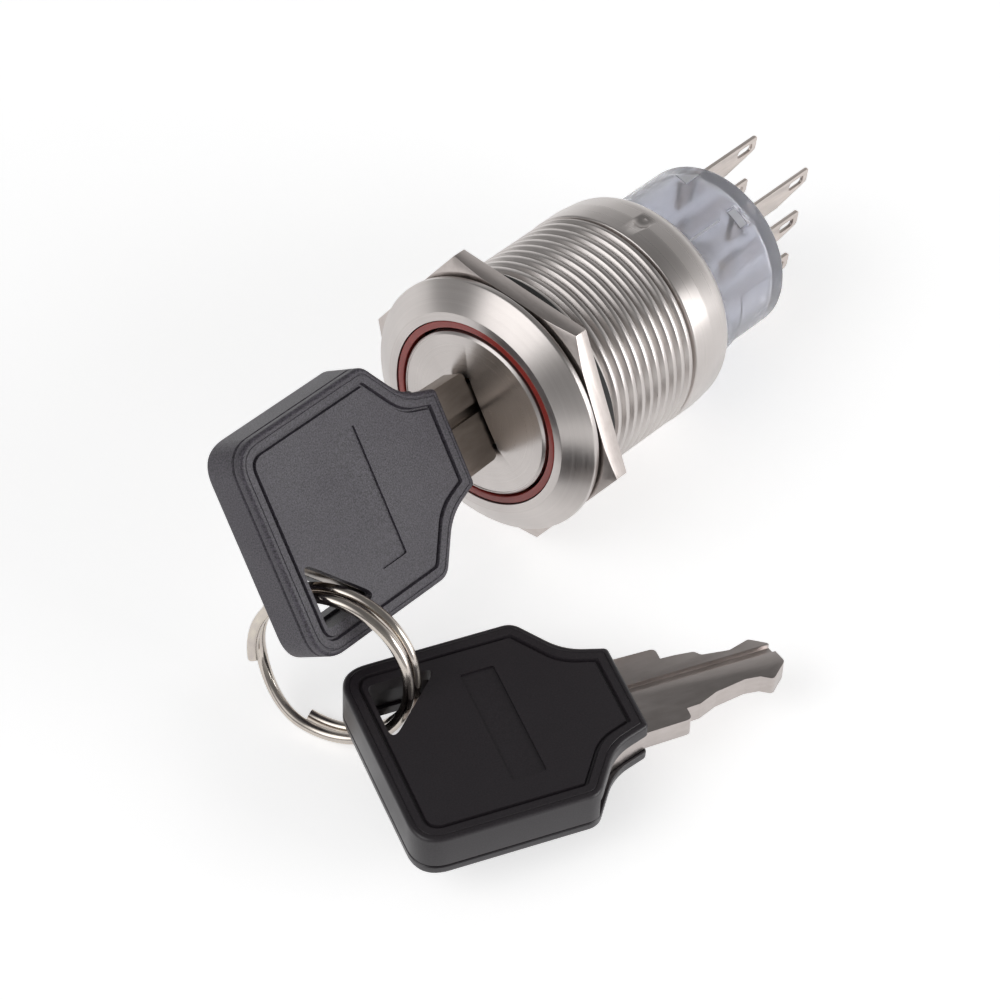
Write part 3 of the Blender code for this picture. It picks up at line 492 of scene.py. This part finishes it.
# the same plastic where the mould was polished: raised marks and a pane that catch the light
markSkin = grainedFinish(
    "polished polycarbonate mark", "#eeeef2", "#e2e3ea", 2.0, 0.001,
    {"Roughness": 0.12, "IOR": 1.58, "Transmission Weight": 0.3},
)
# free-cutting brass, bright and yellow where the tool has been
brassSkin = grainedFinish(
    "machined brass", "#d2b06a", "#b08b45", 0.3, 0.003, {"Metallic": 1.0, "Roughness": 0.32}
)
# glass-filled nylon: black and dull
nylonSkin = grainedFinish("black glass-filled nylon", "#29282a", "#1b1a1c", 0.2, 0.006, {"Roughness": 0.55})
# drawn spring wire: grey and smooth
springSkin = grainedFinish(
    "drawn spring steel", "#b4b2ae", "#8f8d89", 0.3, 0.002, {"Metallic": 1.0, "Roughness": 0.28}
)
# solder mask over glass-epoxy: green with faint changes of tone
boardSkin = grainedFinish("green solder mask", "#2f6b45", "#235637", 0.4, 0.002, {"Roughness": 0.35})
# dyed epoxy cast over the chip: red, smooth and glossy
lampSkin = grainedFinish(
    "red epoxy lamp", "#c2352c", "#a3261f", 0.5, 0.001, {"Roughness": 0.2, "IOR": 1.55}
)
print("finishes made")

# steel body: bezel cone, threaded barrel and rolled skirt, turned as one piece;
# radii in mm, stations in mm to the rear of the rim's front edge
steelBody = dict(
    bore=8.05, boreEdge=0.06, landDepth=2.0, rise=1.45, landOuter=8.8, rimRadius=11.0, edge=0.12,
    flangeBack=0.5, neck=8.9, threadFrom=2.0, threadTo=14.35, pitch=1.0, crest=9.44, root=8.92,
    skirtRadius=9.5, skirtFrom=14.7, skirtEdge=0.2, skirtShoulder=16.9, shoulderRound=3.0, skirtEnd=20.2,
    rollFrom=1.1, rollIn=0.25, rollRound=2.0, lipRadius=8.2, lipRound=0.25, lipBore=7.7, lipEdge=0.1,
    lipLong=1.0, innerBore=8.3,
    dimpleStation=17.1, dimpleAngle=89.0, dimpleRadius=1.1, dimpleDepth=0.34, dimpleSteps=(32, 20),
    columns=192,
)
# one pitch of the thread: share of the pitch, share of the depth below the crest
threadShape = [
    (0.0, 0.0), (0.17, 0.0), (0.22, 0.07), (0.40, 0.92), (0.45, 1.0),
    (0.55, 1.0), (0.60, 0.92), (0.78, 0.07), (0.83, 0.0),
]


def threadDepth(phase):
    points = threadShape + [(1.0, 0.0)]
    for (start, low), (end, high) in zip(points, points[1:]):
        if start <= phase <= end:
            return low + (high - low) * (phase - start) / (end - start)
    return 0.0


def steelProfile(size):
    edge = size["edge"]
    front = softOutline([
        (size["bore"], -size["rise"], size["boreEdge"]),
        (size["landOuter"], -size["rise"], edge),
        (size["rimRadius"], 0.0, 2 * edge),
        (size["rimRadius"], size["flangeBack"], edge),
        (size["neck"], size["flangeBack"], 0),
        (size["neck"], size["threadFrom"], 0),
    ], 4)
    rear = softOutline([
        (size["neck"], size["skirtFrom"], 0),
        (size["skirtRadius"], size["skirtFrom"], size["skirtEdge"]),
        (size["skirtRadius"], size["skirtShoulder"], size["shoulderRound"]),
        (size["skirtRadius"] - size["rollIn"], size["skirtEnd"] - size["rollFrom"], size["rollRound"]),
        (size["lipRadius"], size["skirtEnd"], size["lipRound"]),
        (size["lipBore"], size["skirtEnd"], size["lipEdge"]),
        (size["lipBore"], size["skirtEnd"] - size["lipLong"], 0),
        (size["innerBore"], size["skirtEnd"] - size["lipLong"], 0),
        (size["innerBore"], size["landDepth"], 0),
        (size["bore"], size["landDepth"], 0),
    ], 6)
    return front, rear


def buildSteelBody(size):
    front, rear = steelProfile(size)
    pitches = math.ceil((size["threadTo"] - size["threadFrom"]) / size["pitch"]) + 1
    threadRows = [(turn, point[0]) for turn in range(-1, pitches) for point in threadShape]
    rows = [("plain", point) for point in front]
    rows += [("thread", row) for row in threadRows]
    rows += [("plain", point) for point in rear]
    bm = bmesh.new()
    turning = bm.loops.layers.uv.new("turning")
    grid = []
    for kind, row in rows:
        ring = []
        for column in range(size["columns"] + 1):
            share = column / size["columns"]
            if kind == "plain":
                radius, station = row
            else:
                unwound = size["threadFrom"] + (row[0] + row[1] + share) * size["pitch"]
                station = min(max(unwound, size["threadFrom"]), size["threadTo"])
                phase = ((station - size["threadFrom"]) / size["pitch"] - share) % 1.0
                radius = size["crest"] - (size["crest"] - size["root"]) * threadDepth(phase)
            angle = 2 * math.pi * share
            reach = radius * mm
            ring.append(bm.verts.new((reach * math.cos(angle), reach * math.sin(angle), -station * mm)))
        grid.append(ring)
    for row, (ring, following) in enumerate(zip(grid, grid[1:] + grid[:1])):
        for column in range(size["columns"]):
            face = bm.faces.new((ring[column], following[column], following[column + 1], ring[column + 1]))
            for loop, (u, v) in zip(face.loops, ((0, 0), (0, 1), (1, 1), (1, 0))):
                loop[turning].uv = ((column + u) / size["columns"], (row + v) / len(grid))
    weld = 0.0000005  # metres, joins the seam and the rows that the thread's two ends press flat
    bmesh.ops.remove_doubles(bm, verts=bm.verts, dist=weld)
    bmesh.ops.dissolve_degenerate(bm, edges=bm.edges, dist=weld)
    piece = meshObject("steelBody", bm)
    angle = math.radians(size["dimpleAngle"])
    sphere = bmesh.new()
    around, upright = size["dimpleSteps"]
    bmesh.ops.create_uvsphere(
        sphere, u_segments=around, v_segments=upright, radius=size["dimpleRadius"] * mm
    )
    punch = meshObject("crimpPunch", sphere)
    reach = (size["skirtRadius"] - size["dimpleDepth"] + size["dimpleRadius"]) * mm
    punch.location = (reach * math.cos(angle), reach * math.sin(angle), -size["dimpleStation"] * mm)
    carve(piece, [punch])
    dressPiece(piece, lockFrame, steelSkin, "switch", ["bezel_housing"], sharp=50)


buildSteelBody(steelBody)
print("steel body made")

# red ring let into the bezel, its face a little lower than the land beside it
lightRing = dict(inner=7.4, outer=8.0, face=-1.36, back=2.4, edge=0.12)


def buildLightRing(size):
    profile = softOutline([
        (size["inner"], size["face"], size["edge"]),
        (size["outer"], size["face"], size["edge"]),
        (size["outer"], size["back"], 0),
        (size["inner"], size["back"], 0),
    ], 4)
    piece = turnedSolid("lightRing", profile)
    dressPiece(piece, lockFrame, lensSkin, "switch", ["light_ring"])


buildLightRing(lightRing)

# disc that turns with the key: bright bevelled edge, and a slot for the blade
discFace = dict(
    radius=7.15, front=-1.65, bevel=0.28, edge=0.06, back=-0.3,
    slotHalf=3.1, slotThick=1.1, slotReach=(-1.0, 4.0), soften=0.05,
)


def buildDiscFace(size):
    profile = [(0, size["front"])] + softOutline([
        (size["radius"] - size["bevel"], size["front"], size["edge"]),
        (size["radius"], size["front"] + size["bevel"], size["edge"]),
        (size["radius"], size["back"], 0),
    ], 4)[:-1] + [(size["radius"], size["back"]), (0, size["back"])]
    piece = turnedSolid("discFace", profile)
    half = size["slotHalf"]
    thick = size["slotThick"]
    low, high = size["slotReach"]
    slot = boxSolid("slotTool", (-half, -thick, low), (half, thick, high))
    carve(piece, [slot])
    softenEdges(piece, size["soften"], angle=50)
    dressPiece(piece, rotorFrame, discSkin, "rotor", ["rotor_face"])


buildDiscFace(discFace)

# panel nut: hexagon cut back at its front corners by a turned chamfer
hexNut = dict(
    flats=21.5, front=0.8, back=2.4, bore=9.7, chamferRadius=11.0, chamferInset=0.08, chamferFall=0.85,
    toolPast=0.1, columns=160, soften=0.07,
)


def buildHexNut(size):
    corner = size["flats"] / 2 / math.cos(math.pi / 6)
    turns = [math.pi / 3 * k for k in range(6)]
    hexagon = [Vector((corner * math.cos(turn), corner * math.sin(turn))) for turn in turns]
    piece = stackedSolid("hexNut", [(hexagon, -size["back"]), (hexagon, -size["front"])])
    rise = corner - size["chamferRadius"]
    ahead = size["front"] - size["toolPast"]
    behind = size["back"] + size["toolPast"]
    envelope = turnedSolid("nutEnvelope", [
        (size["bore"], ahead),
        (size["chamferRadius"] - size["chamferInset"], ahead),
        (corner + rise, size["front"] + size["chamferFall"]),
        (corner + rise, behind),
        (size["bore"], behind),
    ], size["columns"])
    carve(piece, [envelope], "INTERSECT")
    softenEdges(piece, size["soften"], angle=18)
    dressPiece(piece, lockFrame, nutSkin, "panel_nut", ["hex_nut"], sharp=22)


buildHexNut(hexNut)

# rubber ring behind the nut, squeezed to a round edge
rubberRing = dict(bore=9.7, boreEdge=0.05, outer=10.1, outerEdge=0.3, front=2.7, thick=0.95)


def buildRubberRing(size):
    back = size["front"] + size["thick"]
    profile = softOutline([
        (size["bore"], size["front"], size["boreEdge"]),
        (size["outer"], size["front"], size["outerEdge"]),
        (size["outer"], back, size["outerEdge"]),
        (size["bore"], back, size["boreEdge"]),
    ], 6)
    piece = turnedSolid("rubberRing", profile)
    dressPiece(piece, lockFrame, rubberSkin, "panel_nut", ["sealing_ring"])


buildRubberRing(rubberRing)
print("front pieces made")

# contact block: a milky cup with a latch pocket and its pane, a seam rib, a raised arrow and a stepped side;
# stations in mm, angles in degrees round the lock's axis
contactBlock = dict(
    radius=7.45, wall=0.65, front=17.1, back=29.1, floor=0.9, edge=0.6, innerEdge=0.8, straight=0.2,
    floorStart=0.5, columns=128, markRoot=0.2, toolPast=1.0,
    windowStations=(26.0, 27.2), windowAngles=(57.0, 72.0), windowDeep=0.3, paneInset=0.14, paneThick=0.08,
    ribStations=(20.2, 24.6), ribAngle=69.3, ribWide=0.16, ribProud=0.1, ribSteps=2,
    stepStations=(23.3, 29.4), stepAngles=(-75.0, 20.5), stepDepth=0.22, stepSteps=40,
    arrowStations=(26.0, 27.7), arrowAngles=(105.0, 118.0), arrowProud=0.1, slotGap=0.12, slotEnd=30.0,
)
# solder tabs: half sizes in mm, and the columns and rows that they stand on
tabRoot = dict(
    half=1.15, thick=0.3, columns=(-2.85, 2.55), rows=(4.753, 0.15, -4.502), soften=0.06,
)


def onBlock(radius, angle, station):
    turn = math.radians(angle)
    return Vector((radius * math.cos(turn), radius * math.sin(turn), -station)) * mm


def sectorSolid(name, inner, outer, stations, angles, steps=12):
    bm = bmesh.new()
    turns = [angles[0] + (angles[1] - angles[0]) * k / steps for k in range(steps + 1)]
    rings = []
    for turn in turns:
        rings.append([
            bm.verts.new(onBlock(inner, turn, stations[0])),
            bm.verts.new(onBlock(outer, turn, stations[0])),
            bm.verts.new(onBlock(outer, turn, stations[1])),
            bm.verts.new(onBlock(inner, turn, stations[1])),
        ])
    for ring, following in zip(rings, rings[1:]):
        for k in range(4):
            bm.faces.new((ring[k - 1], ring[k], following[k], following[k - 1]))
    bm.faces.new(rings[0])
    bm.faces.new(list(reversed(rings[-1])))
    return meshObject(name, bm)


def arrowSolid(size):
    # a plain three-cornered mark that stands proud of the wall
    low, high = size["arrowStations"]
    left, right = size["arrowAngles"]
    corners = ((left, low), (right, (low + high) / 2), (left, high))
    bm = bmesh.new()
    root = size["radius"] - size["markRoot"]
    proud = size["radius"] + size["arrowProud"]
    inside = [bm.verts.new(onBlock(root, turn, station)) for turn, station in corners]
    outside = [bm.verts.new(onBlock(proud, turn, station)) for turn, station in corners]
    for k in range(3):
        bm.faces.new((inside[k - 1], inside[k], outside[k], outside[k - 1]))
    bm.faces.new(inside)
    bm.faces.new(list(reversed(outside)))
    return meshObject("arrowMark", bm)


def buildContactBlock(size, tabs):
    radius = size["radius"]
    inner = radius - size["wall"]
    floor = size["back"] - size["floor"]
    mouth = size["front"] + size["straight"]
    profile = [(inner, size["front"]), (radius, size["front"])]
    profile += softOutline([
        (radius, mouth, 0),
        (radius, size["back"], size["edge"]),
        (0, size["back"], 0),
    ], 6)
    profile += [(0, floor)]
    profile += softOutline([
        (size["floorStart"], floor, 0),
        (inner, floor, size["innerEdge"]),
        (inner, mouth, 0),
    ], 4)
    piece = turnedSolid("contactBlock", profile, size["columns"])
    half = math.degrees(size["ribWide"] / radius) / 2
    rib = sectorSolid(
        "seamRib", radius - size["markRoot"], radius + size["ribProud"], size["ribStations"],
        (size["ribAngle"] - half, size["ribAngle"] + half), size["ribSteps"],
    )
    inset = size["paneInset"]
    turnInset = math.degrees(inset / radius)
    pocketFloor = radius - size["windowDeep"]
    pane = sectorSolid(
        "latchPane", pocketFloor - size["paneThick"], pocketFloor + size["paneThick"],
        (size["windowStations"][0] + inset, size["windowStations"][1] - inset),
        (size["windowAngles"][0] + turnInset, size["windowAngles"][1] - turnInset),
    )
    for mark in (rib, pane, arrowSolid(size)):
        dressPiece(mark, lockFrame, markSkin, "switch", sharp=30)
    past = radius + size["toolPast"]
    tools = [
        sectorSolid("windowTool", pocketFloor, past, size["windowStations"], size["windowAngles"]),
        sectorSolid(
            "stepTool", radius - size["stepDepth"], past, size["stepStations"], size["stepAngles"],
            size["stepSteps"],
        ),
    ]
    tall = tabs["half"] + size["slotGap"]
    wide = tabs["thick"] + size["slotGap"]
    slotFront = -floor + size["toolPast"]
    for x in tabs["columns"]:
        for y in tabs["rows"]:
            low = (x - wide, y - tall, -size["slotEnd"])
            tools.append(boxSolid("tabTool", low, (x + wide, y + tall, slotFront)))
    carve(piece, tools)
    dressPiece(piece, lockFrame, blockSkin, "switch", ["contact_block"], sharp=30)


buildContactBlock(contactBlock, tabRoot)

for number in range(1, 7):
    node = "terminal_%d" % number
    tab = softenEdges(nodeCopy("solderTab%d" % number, node, lockFrame), tabRoot["soften"], angle=30)
    dressPiece(tab, lockFrame, tabSkin, "switch", [node], sharp=30)
print("rear pieces made")

# key heads: two moulded shells round the blank, with a fine groove and a sunk panel inside the rim;
# sizes in mm, x runs from the ring's end of the head to the blade
keyHead = dict(
    width=18.2, length=20.6, shoulder=14.6, neck=8.3, bend=17.4, bendWidth=10.4,
    corner=2.6, shoulderCorner=1.6, hollow=7.0, neckCorner=0.5,
    blankHalf=0.9, topWeb=1.35, seam=0.1, bottomShell=0.85,
    edge=0.32, edgeSteps=5, topSeam=0.1, bottomSeam=0.08,
    grooveInset=0.42, grooveWide=0.14, grooveDeep=0.06, grooveSlope=0.04,
    panelInset=1.12, panelWide=0.36, panelSunk=0.05, panelTrench=0.3, trenchOuter=0.12, trenchInner=0.1,
    recess=((8.9, -5.5), (11.7, 5.5)), recessDeep=0.16, recessCorner=0.2,
    holeX=1.8, holeY=6.9, holeLeg=5.8, holeCorner=0.6, holeReach=6.0,
    blankMargin=1.7, bowHalf=7.0, pocketGap=0.15, pocketPast=2.0, pocketBelow=1.0, bladeSoften=0.08,
)


def headOutline(size, inset=0.0):
    half = size["width"] / 2
    side = [
        (0.0, half, size["corner"]),
        (size["shoulder"], half, size["shoulderCorner"]),
        (size["bend"], size["bendWidth"] / 2, size["hollow"]),
        (size["length"], size["neck"] / 2, size["neckCorner"]),
    ]
    corners = [(x, -y, r) for x, y, r in side] + [(x, y, r) for x, y, r in reversed(side)]
    return softOutline(insetCorners(corners, inset), 12)


def faceLevels(size, height, up):
    # rim fillet, fine groove, then the trench and the sunk panel, towards the middle of the face
    edge = size["edge"]
    levels = []
    for step in range(size["edgeSteps"] + 1):
        turn = math.pi / 2 * step / size["edgeSteps"]
        levels.append((edge * (1 - math.cos(turn)), height - up * edge * (1 - math.sin(turn))))
    groove = size["grooveInset"]
    grooveEnd = groove + size["grooveWide"]
    deep = height - up * size["grooveDeep"]
    slope = size["grooveSlope"]
    levels += [(groove, height), (groove + slope, deep), (grooveEnd - slope, deep), (grooveEnd, height)]
    panel = size["panelInset"]
    panelEnd = panel + size["panelWide"]
    trench = height - up * size["panelTrench"]
    sunk = height - up * size["panelSunk"]
    levels += [(panel, height), (panel + size["trenchOuter"], trench)]
    levels += [(panelEnd - size["trenchInner"], trench), (panelEnd, sunk)]
    return [(headOutline(size, inset), place) for inset, place in levels], sunk


def holeOutline(size):
    x, y, leg, corner = size["holeX"], size["holeY"], size["holeLeg"], size["holeCorner"]
    return softOutline([(x, y, corner), (x, y - leg, corner), (x + leg, y, corner)], 6)


def recessTool(size, sunk, up):
    (x0, y0), (x1, y1) = size["recess"]
    corner = size["recessCorner"]
    outline = softOutline([(x0, y0, corner), (x1, y0, corner), (x1, y1, corner), (x0, y1, corner)], 3)
    ends = sorted((sunk - up * size["recessDeep"], sunk + up))
    return stackedSolid("recessTool", [(outline, end) for end in ends])


def holeTool(size):
    outline = holeOutline(size)
    return stackedSolid("holeTool", [(outline, -size["holeReach"]), (outline, size["holeReach"])])


def buildKey(prefix, where, headFinish, bladeFinish, body, size):
    half = size["blankHalf"]
    top = half + size["topWeb"]
    levels, sunk = faceLevels(size, top, 1)
    seam = size["topSeam"]
    under = [(headOutline(size, seam), -half), (headOutline(size), -half + seam)]
    upper = stackedSolid(prefix + "HeadTop", under + levels)
    gap = size["pocketGap"]
    pocketHalf = size["bowHalf"] + gap
    pocketCorner = size["corner"] - size["blankMargin"]
    near, far = size["blankMargin"] - gap, size["length"] + size["pocketPast"]
    opening = size["shoulder"] + gap
    pocket = softOutline([
        (near, -pocketHalf, pocketCorner),
        (opening, -pocketHalf, 0),
        (opening, -size["width"], 0),
        (far, -size["width"], 0),
        (far, size["width"], 0),
        (opening, size["width"], 0),
        (opening, pocketHalf, 0),
        (near, pocketHalf, pocketCorner),
    ], 4)
    carve(upper, [
        stackedSolid("pocketTool", [(pocket, -half - size["pocketBelow"]), (pocket, half + gap)]),
        holeTool(size),
        recessTool(size, sunk, 1),
    ])
    dressPiece(upper, where, headFinish, body, [prefix + "_head_top"], sharp=30)
    low = -half - size["seam"]
    bottom = low - size["bottomShell"]
    levels, sunk = faceLevels(size, bottom, -1)
    seam = size["bottomSeam"]
    over = [(headOutline(size), low - seam), (headOutline(size, seam), low)]
    lower = stackedSolid(prefix + "HeadBottom", list(reversed(levels)) + over)
    carve(lower, [holeTool(size), recessTool(size, sunk, -1)])
    dressPiece(lower, where, headFinish, body, [prefix + "_head_bottom"], sharp=30)
    node = prefix + "_blade"
    blade = softenEdges(nodeCopy(prefix + "Blade", node, where), size["bladeSoften"], angle=30)
    dressPiece(blade, where, bladeFinish, body, [node], sharp=30)


buildKey("key", keyFrame, headSkin, shadedBladeSkin, "key", keyHead)
buildKey("spare", spareFrame, spareHeadSkin, spareBladeSkin, "spare_key", keyHead)
print("keys made")

# split ring: one wire wound twice, with a jog where it changes turns
splitRing = dict(radius=6.55, wire=0.46, roundness=5, pitch=1.28, jog=60.0, start=255.0, points=300)


def buildSplitRing(size):
    jog = math.radians(size["jog"])
    whole = 4 * math.pi - jog
    curve = bpy.data.curves.new("splitRing", "CURVE")
    curve.dimensions = "3D"
    curve.bevel_depth = size["wire"] * mm
    curve.bevel_resolution = size["roundness"]
    curve.use_fill_caps = True
    spline = curve.splines.new("POLY")
    spline.points.add(size["points"])
    for index, point in enumerate(spline.points):
        turn = whole * index / size["points"]
        rise = min(max((turn - 2 * math.pi + jog) / jog, 0.0), 1.0)
        height = size["pitch"] * (rise * rise * (3 - 2 * rise) - 0.5)
        around = turn + math.radians(size["start"])
        reach = size["radius"] * mm
        point.co = (reach * math.cos(around), reach * math.sin(around), height * mm, 1)
    drawn = bpy.data.objects.new("ringWire", curve)
    bpy.context.scene.collection.objects.link(drawn)
    bpy.context.view_layer.update()
    mesh = bpy.data.meshes.new_from_object(drawn.evaluated_get(bpy.context.evaluated_depsgraph_get()))
    bpy.data.objects.remove(drawn, do_unlink=True)
    bm = bmesh.new()
    bm.from_mesh(mesh)
    weld = 0.000001  # metres, joins the end caps to the wire
    bmesh.ops.remove_doubles(bm, verts=bm.verts, dist=weld)
    piece = meshObject("splitRing", bm)
    dressPiece(piece, ringFrame, ringSkin, "ring", ["split_ring"], sharp=50)


buildSplitRing(splitRing)


# return spring: a copy of its solid in its own finish, with its rear end at the block's floor
def buildReturnSpring():
    piece = nodeCopy("returnSpring", "return_spring", lockFrame)
    dressPiece(piece, lockFrame, springSkin, "switch", ["return_spring"], sharp=60)
    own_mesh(piece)


buildReturnSpring()

# the other pieces inside keep their solids and get their own finishes
insideSkins = {
    "lock_plug": brassSkin, "lock_sleeve": brassSkin, "drive_cam": brassSkin, "contact_bridge": brassSkin,
    "block_cover": nylonSkin, "plunger": nylonSkin,
    "led_board": boardSkin, "led_1": lampSkin, "led_2": lampSkin,
}
for number in range(1, 6):
    insideSkins["wafer_%d" % number] = brassSkin
for node, skin in insideSkins.items():
    mesh = frame["nodes"][node].data
    mesh.materials.clear()
    mesh.materials.append(skin)
print("inside pieces dressed")

# stage: white floor, a plain grey room, two soft lamps and the photograph's camera;
# metres and degrees, and heights in the room as the sine of the angle above the floor
stage = dict(
    floorSize=6.0, floorDrop=0.0002, floorColour="#f4f4f4", glow=0.53,
    wallsDark=0.3, wallsBright=0.66, wallTurn=0.6, brightAzimuth=70.0,
    zenith=0.18, wallTop=0.15, roofFrom=0.75,
    boxAzimuth=-108.0, boxHeight=42.0, boxInner=14.0, boxOuter=36.0, boxLevel=1.1,
)


def buildFloor(setup):
    bm = bmesh.new()
    bmesh.ops.create_grid(bm, x_segments=1, y_segments=1, size=setup["floorSize"] / 2)
    floor = meshObject("floor", bm)
    floor.location = (0, 0, -setup["floorDrop"])
    finish, tree, shader = newFinish("white paper sweep", {"Roughness": 0.9, "Specular IOR Level": 0.1})
    shader.inputs["Base Color"].default_value = linearColour(setup["floorColour"])
    # the floor glows white for the camera, in mirrors and through plastic, and still takes the shadow
    rays = addNode(tree, "ShaderNodeLightPath")
    direct = addNode(
        tree, "ShaderNodeMath", {"operation": "MAXIMUM"},
        {0: rays.outputs["Is Camera Ray"], 1: rays.outputs["Is Transmission Ray"]},
    )
    seen = addNode(
        tree, "ShaderNodeMath", {"operation": "MAXIMUM"},
        {0: direct.outputs[0], 1: rays.outputs["Is Glossy Ray"]},
    )
    strength = addNode(
        tree, "ShaderNodeMath", {"operation": "MULTIPLY", 1: setup["glow"]}, {0: seen.outputs[0]}
    )
    shader.inputs["Emission Color"].default_value = (1, 1, 1, 1)
    tree.links.new(strength.outputs[0], shader.inputs["Emission Strength"])
    floor.data.materials.append(finish)


def buildWorld(setup):
    world = bpy.data.worlds.new("studio")
    bpy.context.scene.world = world
    world.use_nodes = True
    tree = world.node_tree
    background = tree.nodes["Background"]
    background.inputs["Color"].default_value = (1, 1, 1, 1)
    coords = addNode(tree, "ShaderNodeTexCoord")
    # grey walls and a darker roof, with one soft box high up that draws bright bands on the steel
    height = addNode(tree, "ShaderNodeSeparateXYZ", None, {0: coords.outputs["Generated"]})
    bright = math.radians(setup["brightAzimuth"])
    brightWay = (math.cos(bright), math.sin(bright), 0)
    side = addNode(
        tree, "ShaderNodeVectorMath", {"operation": "DOT_PRODUCT", 1: brightWay},
        {0: coords.outputs["Generated"]},
    )
    walls = addNode(
        tree, "ShaderNodeMapRange",
        {
            "From Min": -setup["wallTurn"], "From Max": setup["wallTurn"],
            "To Min": setup["wallsDark"], "To Max": setup["wallsBright"],
        },
        {"Value": side.outputs["Value"]},
    )
    room = addNode(
        tree, "ShaderNodeMapRange",
        {
            "From Min": setup["wallTop"], "From Max": setup["roofFrom"], "To Max": setup["zenith"],
            "interpolation_type": "SMOOTHSTEP",
        },
        {"Value": height.outputs["Z"], "To Min": walls.outputs[0]},
    )
    azimuth, lift = math.radians(setup["boxAzimuth"]), math.radians(setup["boxHeight"])
    towards = (math.cos(lift) * math.cos(azimuth), math.cos(lift) * math.sin(azimuth), math.sin(lift))
    facing = addNode(
        tree, "ShaderNodeVectorMath", {"operation": "DOT_PRODUCT", 1: towards},
        {0: coords.outputs["Generated"]},
    )
    box = addNode(
        tree, "ShaderNodeMapRange",
        {
            "From Min": math.cos(math.radians(setup["boxOuter"])),
            "From Max": math.cos(math.radians(setup["boxInner"])),
            "To Max": setup["boxLevel"], "interpolation_type": "SMOOTHSTEP",
        },
        {"Value": facing.outputs["Value"]},
    )
    shade = addNode(tree, "ShaderNodeMath", {"operation": "ADD"}, {0: room.outputs[0], 1: box.outputs[0]})
    tree.links.new(shade.outputs[0], background.inputs["Strength"])


# lamps: places in metres from the point that they face, power in watts
lampAim = Vector((0, -0.01, -0.005))  # metres from the rim
lamps = dict(
    right=dict(place=(0.5, 0.22, 0.16), size=(0.4, 0.3), power=1.3),
    left=dict(place=(-0.15, -0.41, 0.36), size=(0.4, 0.3), power=0.35),
)


def buildLamps(setups):
    aim = rimCentre + lampAim
    for name, setup in setups.items():
        data = bpy.data.lights.new(name + "Softbox", "AREA")
        data.shape = "RECTANGLE"
        data.size, data.size_y = setup["size"]
        data.energy = setup["power"]
        lamp = bpy.data.objects.new(name + "Softbox", data)
        bpy.context.scene.collection.objects.link(lamp)
        lamp.location = aim + Vector(setup["place"])
        lamp.rotation_euler = (aim - lamp.location).to_track_quat("-Z", "Y").to_euler()


# camera: its place in mm from the rim and its three axes, found by matching the photograph
camera = dict(
    fromRim=(152.5, -181.7, 283.51), right=(0.7569, 0.6534, 0.0154), up=(-0.5169, 0.5839, 0.626),
    back=(0.4, -0.4818, 0.7797), sensor=36.0, lens=169.5, clipStart=0.01,
)


def buildCamera(setup):
    data = bpy.data.cameras.new("photoCamera")
    data.sensor_width = setup["sensor"]
    data.lens = setup["lens"]
    data.clip_start = setup["clipStart"]
    shooter = bpy.data.objects.new("photoCamera", data)
    bpy.context.scene.collection.objects.link(shooter)
    turned = Matrix([setup["right"], setup["up"], setup["back"]]).transposed().to_4x4()
    turned.translation = rimCentre + Vector(setup["fromRim"]) * mm
    shooter.matrix_world = turned
    bpy.context.scene.camera = shooter


buildFloor(stage)
buildWorld(stage)
buildLamps(lamps)
buildCamera(camera)
bpy.context.scene.view_settings.view_transform = "Standard"
print("stage set")

bpy.context.view_layer.update()
